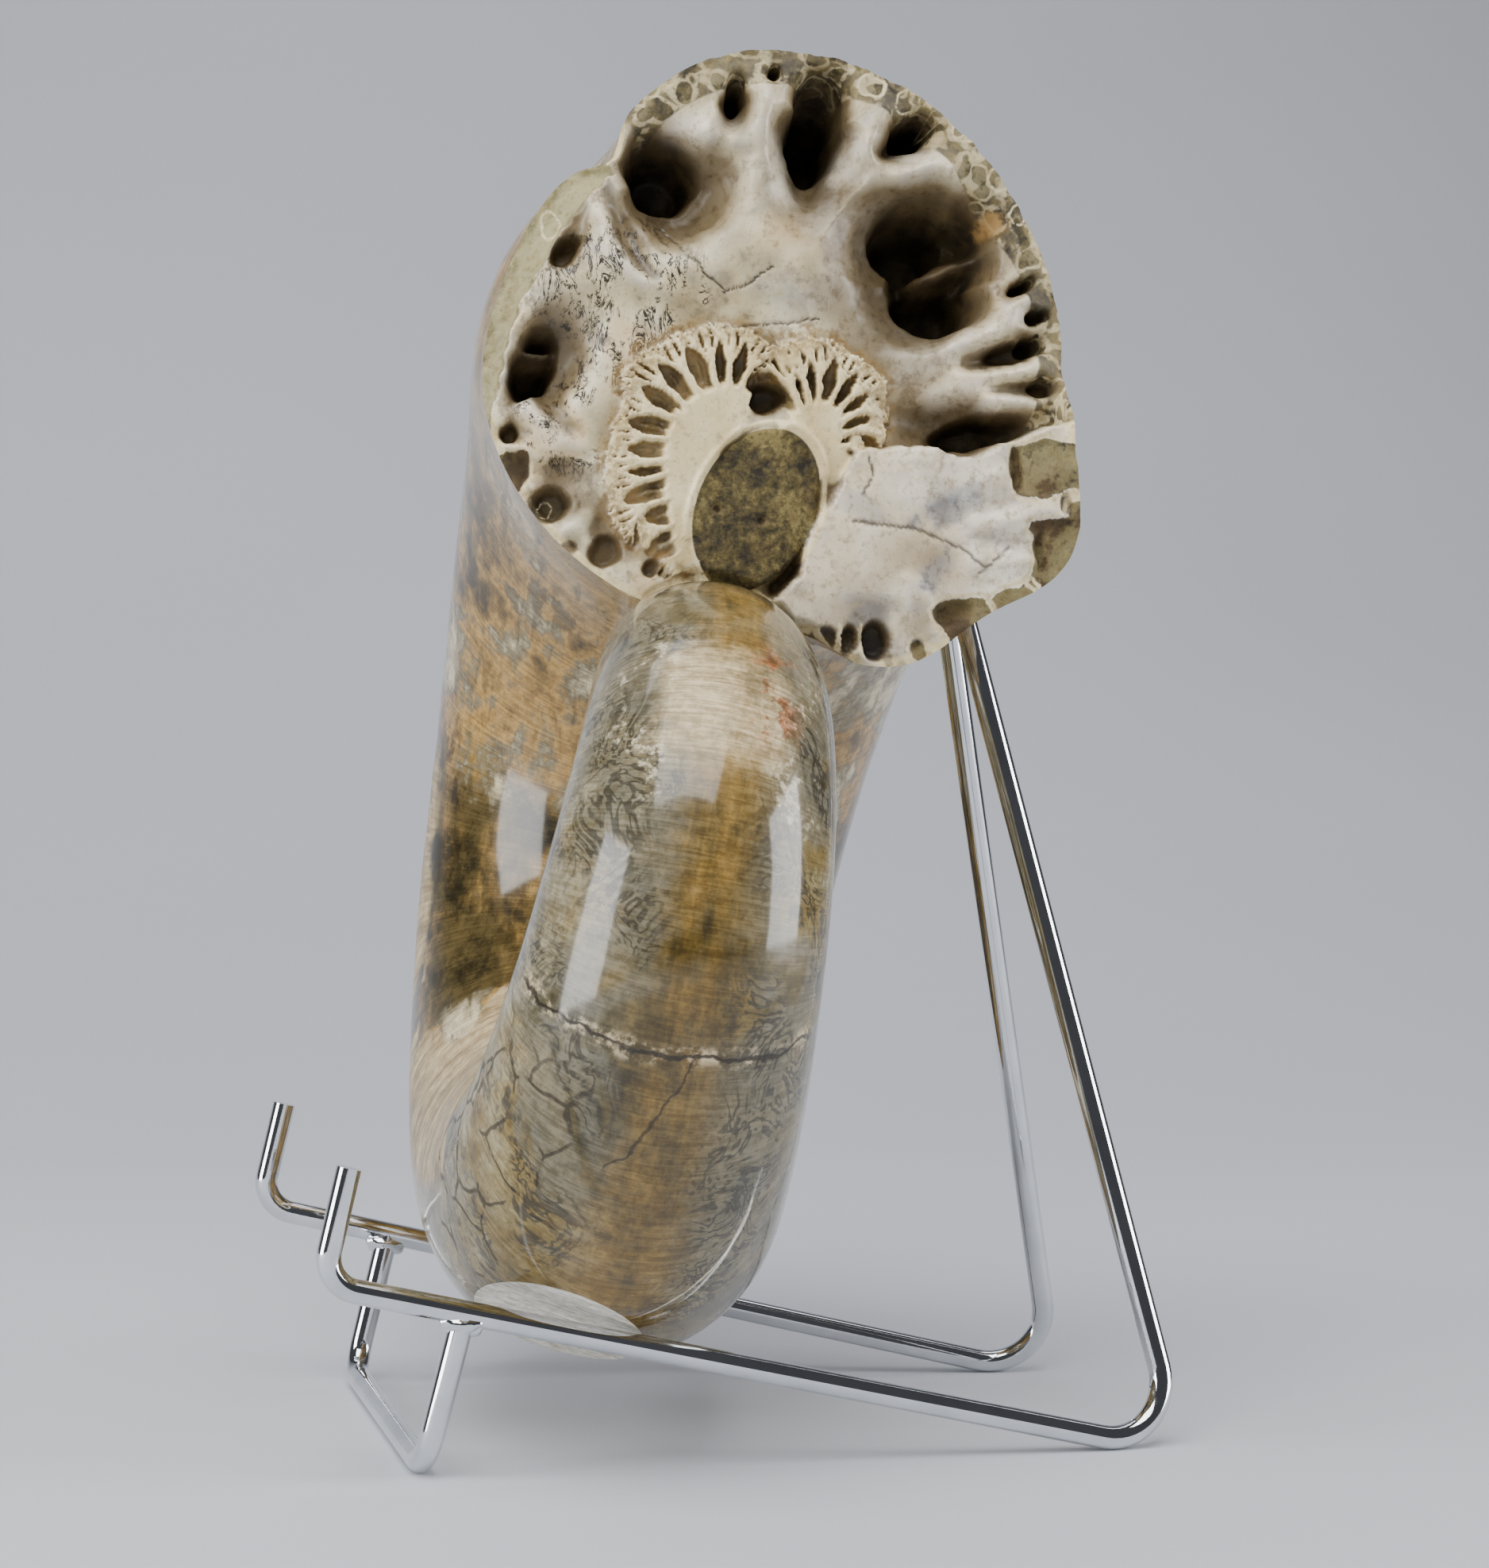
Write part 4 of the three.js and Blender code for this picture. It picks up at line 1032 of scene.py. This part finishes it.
work = bmesh.new()
work.from_mesh(coil)
open_edges = [[v.index for v in e.verts] for e in work.edges if e.is_boundary]
work.free()
open_points = {i for pair in open_edges for i in pair}
end_points = {i for i in open_points if abs(coil_places[i][0]) < 0.01 and coil_places[i][2] > 40}
end_loop = []
for i in end_points:
    around = math.atan2(coil_places[i][1], (coil_places[i][2] - coil_radius) / whorl_height)
    end_loop.append((around / (2 * math.pi) % 1, i))
end_loop.sort()
lip_faces = strip(end_loop, rings[-1])
navel_half, navel_whorl = 0.9, (1.0, -3.0)
axis_points = [(0.0, side * navel_half, 0.0) for side in (-1, 1)]
first_axis_point = first_face_point + len(face_places)
navel_faces = []
for a, b in open_edges:
    if a not in end_points or b not in end_points:
        navel_faces.append((a, b, first_axis_point + int(coil_places[a][1] > 0)))

everything = np.concatenate([shaped, face_places, axis_points])
in_easel = everything @ np.array(coil_turned).T * MM + np.array(coil_middle)
coil_faces = [tuple(face.vertices) for face in coil.polygons]
fossil_mesh = bpy.data.meshes.new("ammonite")
fossil_mesh.from_pydata(in_easel.tolist(), [], coil_faces + navel_faces + lip_faces + face_faces)
for name, values in face_marks.items():
    padded = np.zeros(len(everything), np.float32)
    padded[first_face_point:first_axis_point] = values
    fossil_mesh.attributes.new(name, "FLOAT", "POINT").data.foreach_set("value", padded)
whorl_layer = np.zeros((len(fossil_mesh.loops), 2), np.float32)
whorl_layer[:len(corner_whorl)] = corner_whorl
navel_corners = 3 * len(navel_faces)
whorl_layer[len(corner_whorl):len(corner_whorl) + navel_corners] = navel_whorl
lip_corners = np.empty(len(fossil_mesh.loops), int)
fossil_mesh.loops.foreach_get("vertex_index", lip_corners)
lip_start = len(corner_whorl) + navel_corners
for corner in range(lip_start, lip_start + 3 * len(lip_faces)):
    point = lip_corners[corner]
    if point < first_face_point:
        whorl_layer[corner] = whorl_place[point]
    else:
        whorl_layer[corner] = (face_bearing[point - first_face_point] / 180, 0.0)
fossil_mesh.uv_layers.new(name="whorl").data.foreach_set("uv", whorl_layer.ravel())


def pearl_and_rock():
    """Dull pearly shell turned to stone, with olive rock and cream frills, and painted shade in the
    tunnels.
    """
    material, bench = new_material("pearl_and_rock")
    place = bench.node("ShaderNodeTexCoord", out="Object")

    def mark(name):
        return bench.node("ShaderNodeAttribute", {"attribute_name": name}, {}, "Fac")

    def drawn_out(by):
        return bench.node("ShaderNodeVectorMath", {"operation": "MULTIPLY"}, {0: place, 1: by})

    broad, patch = place.cloud(34.0, 3.0, 0.6), place.cloud(120.0, 4.0, 0.68)
    grit = place.cloud(480.0, 3.0, 0.75)
    tint = bench.node("ShaderNodeValToRGB", {"stops": [
        (0.40, paint(120, 108, 80)), (0.46, paint(176, 163, 128)), (0.52, paint(216, 206, 172)),
        (0.59, paint(236, 228, 200)),
    ]}, {"Fac": broad * 0.5 + patch * 0.5}, "Color")
    # Grey-blue: a stain on the septum, and painted shade in the shelf's hollows.
    haze = mark("haze").rise(0.2, 0.9) * patch.rise(0.4, 0.56)
    tint = (haze * 0.75).blend(tint, paint(134, 132, 128))
    tint = (broad.rise(0.53, 0.62) * 0.55).blend(tint, paint(198, 164, 106))
    tint = (patch.rise(0.52, 0.6) * broad.rise(0.35, 0.55) * 0.5).blend(tint, paint(128, 116, 98))
    shelf_tint = bench.node("ShaderNodeValToRGB", {"stops": [
        (0.41, paint(142, 122, 92)), (0.47, paint(184, 166, 134)), (0.53, paint(208, 196, 170)),
        (0.59, paint(226, 218, 200)),
    ]}, {"Fac": broad * 0.6 + patch * 0.4}, "Color")
    tint = (mark("ochre") * patch.rise(0.4, 0.52) * 0.7).blend(tint, paint(206, 172, 110))
    shelf_tint = (mark("tan") * 0.6).blend(shelf_tint, paint(194, 172, 130))
    # Painted sheen: grey streaks drawn out across the shelf where its silky lustre shows.
    painted_sheen = drawn_out((1.0, 0.4, 1.2)).cloud(80.0, 3.0, 0.5, 0.5)
    shelf_tint = (painted_sheen.rise(0.49, 0.58) * 0.65).blend(shelf_tint, paint(146, 141, 136))
    tint = mark("shelf").blend(tint, (haze * 0.95).blend(shelf_tint, paint(128, 130, 138)))

    # Painted shade: darker in valleys, in the tunnels' funnels, along the shadow lines and in creases.
    tint = (mark("valley") * (0.3 + patch * 0.7)).blend(tint, paint(142, 124, 94))
    tint = (mark("shade").rise(0.0, 0.6) * (0.45 + patch * 0.7)).blend(tint, paint(116, 101, 76))
    tint = (mark("shade").rise(0.45, 1.0) * 0.8).blend(tint, paint(62, 52, 36))
    crease_shade_tint = mark("shelf").blend(paint(106, 92, 66), paint(146, 142, 138))
    tint = (mark("crease").rise(0.05, 0.6) * 0.75).blend(tint, crease_shade_tint)
    # Painted highlight: paler on crests, on ridges and along the highlight lines.
    pearl = (mark("crest").rise(0.3, 1.0) * 0.5).apply("MAXIMUM", mark("pearl") * 0.7)
    pearl = pearl.apply("MAXIMUM", mark("ridge") * 0.45)
    tint = pearl.blend(tint, paint(226, 217, 198))
    thread = drawn_out((1.0, 1.35, 0.6)).cloud(230.0, 4.0, 0.74, 1.2)
    specks = (1.0 - (thread - 0.5).apply("ABSOLUTE").rise(0.016, 0.044)) * mark("specks").rise(0.15, 0.55)
    tint = (specks * patch.rise(0.45, 0.53)).blend(tint, paint(42, 36, 28))

    rib = mark("rib").apply("MAXIMUM", mark("plug_rim"))
    rib = rib.apply("MAXIMUM", mark("edge") * patch.rise(0.36, 0.46))
    cream = patch.rise(0.34, 0.62).blend(paint(204, 184, 134), paint(233, 219, 176))
    tint = rib.rise(0.25, 0.8).blend(tint, cream)
    tint = (mark("tip") * grit.rise(0.38, 0.56) * 0.7).blend(tint, paint(150, 124, 78))
    tint = (mark("fringe").rise(0.15, 0.7) * 0.8).blend(tint, patch.rise(0.4, 0.6).blend(
        paint(104, 82, 46), paint(158, 130, 82)))
    tint = (mark("gap").rise(0.15, 0.7) * 0.92).blend(tint, patch.rise(0.4, 0.6).blend(
        paint(84, 69, 43), paint(156, 137, 96)))

    stone = bench.node("ShaderNodeValToRGB", {"stops": [
        (0.41, paint(30, 25, 11)), (0.47, paint(60, 51, 25)), (0.53, paint(86, 76, 40)),
        (0.61, paint(132, 120, 74)),
    ]}, {"Fac": place.cloud(700.0, 3.0, 0.75) * 0.3 + grit * 0.2 + patch * 0.5}, "Color")
    stone = (broad.rise(0.5, 0.62) * 0.5).blend(stone, paint(88, 64, 32))
    stone = (mark("shoulder") * (0.45 + patch * 0.5)).blend(stone, paint(170, 164, 124))
    stone = (mark("shelf") * patch.rise(0.42, 0.56) * 0.5).blend(stone, paint(146, 138, 98))
    tint = mark("rock").rise(0.3, 0.7).blend(tint, stone)

    cells = bench.node("ShaderNodeTexVoronoi", {}, {
        "Vector": stirred(bench, place, 170.0, 0.006), "Scale": 210.0,
    })
    in_band = mark("rim_band").rise(0.3, 0.7)
    in_cell = (1.0 - cells.rise(0.38, 0.48)) * in_band * (1.0 - mark("edge").rise(0.4, 0.9))
    wall = cells.rise(0.4, 0.48) * (1.0 - cells.rise(0.58, 0.68)) * patch.rise(0.4, 0.5)
    tint = (in_band * 0.85).blend(tint, (wall * 0.65).blend(stone, paint(206, 192, 152)))
    tint = (in_cell * 0.8).blend(tint, patch.rise(0.48, 0.6).blend(stone, paint(136, 128, 98)))

    # Painted shade in the tunnels: brown at their mouths, nearly black deeper in.
    hollow = mark("hollow")
    tint = (hollow.rise(0.05, 0.7) * 0.92).blend(
        tint, patch.rise(0.38, 0.62).blend(paint(58, 46, 28), paint(112, 95, 64)))
    tint = (hollow.rise(0.6, 1.0) * 0.85).blend(
        tint, patch.rise(0.42, 0.6).blend(paint(22, 18, 11), paint(58, 50, 30)))
    tint = (mark("rust").rise(0.3, 0.8) * patch.rise(0.4, 0.54) * 0.6).blend(tint, paint(184, 144, 82))
    tint = mark("line").rise(0.3, 0.8).blend(tint, paint(210, 196, 158))
    tint = (mark("crack") * 0.85).blend(tint, paint(52, 42, 32))
    tint = (grit.rise(0.5, 0.72) * 0.4).blend(tint, paint(126, 108, 82), "MULTIPLY")
    soil = place.cloud(240.0, 4.0, 0.7).rise(0.42, 0.62)
    tint = (soil * 0.6).blend(tint, paint(216, 206, 186), "MULTIPLY")

    rocky = mark("rock").apply("MAXIMUM", in_band)
    rough = 0.32 + patch * 0.2 + rocky * 0.35 + hollow * 0.15 - pearl * 0.14
    bump = bench.node("ShaderNodeBump", {}, {
        "Strength": 0.6, "Distance": 0.0004, "Height": grit * (0.25 + rocky * 1.4 + hollow),
    })
    finish_material(bench, bench.node(
        "ShaderNodeBsdfPrincipled", {}, {"Base Color": tint, "Roughness": rough, "Normal": bump}
    ))
    return material


fossil_mesh.materials.append(polished_shell())
fossil_mesh.materials.append(pearl_and_rock())
of_face = np.zeros(len(fossil_mesh.polygons), np.int32)
of_face[-len(face_faces):] = 1
fossil_mesh.polygons.foreach_set("material_index", of_face)
fossil_mesh.polygons.foreach_set("use_smooth", np.ones(len(fossil_mesh.polygons), bool))

# A flat was ground on the underside, where the fossil sits on the near rail.
flat_middle = easel_origin + Vector((51.4, 39.5, 39)) * MM
flat_tilt, flat_slew = math.radians(17), math.radians(22.2)
flat_facing = Vector((
    math.sin(flat_tilt),
    -math.sin(flat_slew) * math.cos(flat_tilt),
    -math.cos(flat_slew) * math.cos(flat_tilt),
))
work = bmesh.new()
work.from_mesh(fossil_mesh)
cut = bmesh.ops.bisect_plane(
    work, geom=work.verts[:] + work.edges[:] + work.faces[:], plane_co=flat_middle, plane_no=flat_facing,
    clear_outer=True,
)
cut_edges = [e for e in cut["geom_cut"] if isinstance(e, bmesh.types.BMEdge)]
ground = work.faces.layers.float.new("ground")
for face in bmesh.ops.contextual_create(work, geom=cut_edges)["faces"]:
    face[ground] = 1.0
    face.smooth = False
    for edge in face.edges:
        edge.smooth = False
bmesh.ops.recalc_face_normals(work, faces=work.faces)
for edge in work.edges:
    if len({face.material_index for face in edge.link_faces}) > 1:
        edge.smooth = False
work.to_mesh(fossil_mesh)
work.free()

fossil = put_in_scene(fossil_mesh, "fossil_ammonite")
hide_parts("ammonite")
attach(fossil, "root")


# Table and backdrop: one sheet of pale grey studio paper, laid flat under the easel and swept up behind it
# in one wide bend, so that no edge shows.
def studio_paper():
    material, bench = new_material("studio_paper")
    place = bench.node("ShaderNodeTexCoord", out="Object")
    fibre, broad = place.cloud(900.0, 3.0), place.cloud(2.0, 2.0)
    tint = (broad * 0.6 + fibre * 0.4).rise(0.2, 0.8).blend(paint(181, 184, 191), paint(189, 192, 199))
    bump = bench.node("ShaderNodeBump", {}, {"Strength": 0.05, "Distance": 0.0001, "Height": fibre})
    finish_material(bench, bench.node(
        "ShaderNodeBsdfPrincipled", {}, {"Base Color": tint, "Roughness": 0.8, "Normal": bump}
    ))
    return material


paper_front, paper_back, paper_half, paper_top, sweep = 1.6, -0.45, 1.8, 2.4, 1.5
sweep_steps = 24
paper_line = [(paper_front, 0.0), (paper_back, 0.0)]
for step in range(1, sweep_steps + 1):
    turned = math.pi / 2 * step / sweep_steps
    paper_line.append((paper_back - sweep * math.sin(turned), sweep * (1 - math.cos(turned))))
paper_line.append((paper_back - sweep, paper_top))
paper_mesh = bpy.data.meshes.new("studio_paper")
paper_mesh.from_pydata(
    [(x, side * paper_half, z) for x, z in paper_line for side in (-1, 1)], [],
    [(2 * i, 2 * i + 2, 2 * i + 3, 2 * i + 1) for i in range(len(paper_line) - 1)],
)
paper_mesh.materials.append(studio_paper())
paper_mesh.polygons.foreach_set("use_smooth", [True] * len(paper_mesh.polygons))
paper = put_in_scene(paper_mesh, "studio_paper")


# Studio light: a broad soft box overhead, a tall one on each side, a weak one in front that shows in no
# reflection, one for the paper behind, and dim light from the room.
def soft_box(name, place, aim, wide, tall, watts):
    lamp = bpy.data.lights.new(name, "AREA")
    lamp.shape, lamp.size, lamp.size_y, lamp.energy = "RECTANGLE", wide, tall, watts
    box = bpy.data.objects.new(name, lamp)
    box.location = place
    box.rotation_euler = (Vector(aim) - Vector(place)).to_track_quat("-Z", "Y").to_euler()
    bpy.context.scene.collection.objects.link(box)
    return box


soft_box("overhead_box", (0.5, -0.2, 1.25), (0, 0, 0.14), 1.0, 0.9, 20)
soft_box("left_box", (0.3, -1.2, 0.3), (0, 0, 0.12), 0.62, 1.0, 20)
soft_box("right_box", (0.45, 1.15, 0.22), (0, 0, 0.12), 0.66, 1.0, 22)
soft_box("front_fill", (1.3, -0.7, 0.8), (0, 0, 0.16), 0.9, 0.9, 9).visible_glossy = False
soft_box("paper_box", (-0.6, 0.0, 1.6), (-1.4, 0, 0.5), 1.6, 0.6, 10)
room = bpy.data.worlds.new("room")
room.use_nodes = True
room.node_tree.nodes["Background"].inputs["Color"].default_value = paint(150, 152, 158)
room.node_tree.nodes["Background"].inputs["Strength"].default_value = 0.22
bpy.context.scene.world = room


# Camera: a long lens to the right of the easel, a little above the middle of the coil, that looks across
# the two rails at the broken end.
lens = bpy.data.cameras.new("camera")
lens.sensor_width = 36
lens.lens = 88.06
lens.clip_start = 0.01
camera = bpy.data.objects.new("camera", lens)
yaw, pitch, roll = 0.2324, 0.0286, 0.0161
looking = Vector((-math.cos(yaw) * math.cos(pitch), math.sin(yaw) * math.cos(pitch), -math.sin(pitch)))
level = looking.cross(Vector((0, 0, 1))).normalized()
upright = level.cross(looking)
right = math.cos(roll) * level + math.sin(roll) * upright
up = math.cos(roll) * upright - math.sin(roll) * level
camera.matrix_world = Matrix((right, up, -looking)).transposed().to_4x4()
camera.location = easel_origin + Vector((802.09, -93.09, 160.59)) * MM
bpy.context.scene.collection.objects.link(camera)
bpy.context.scene.camera = camera
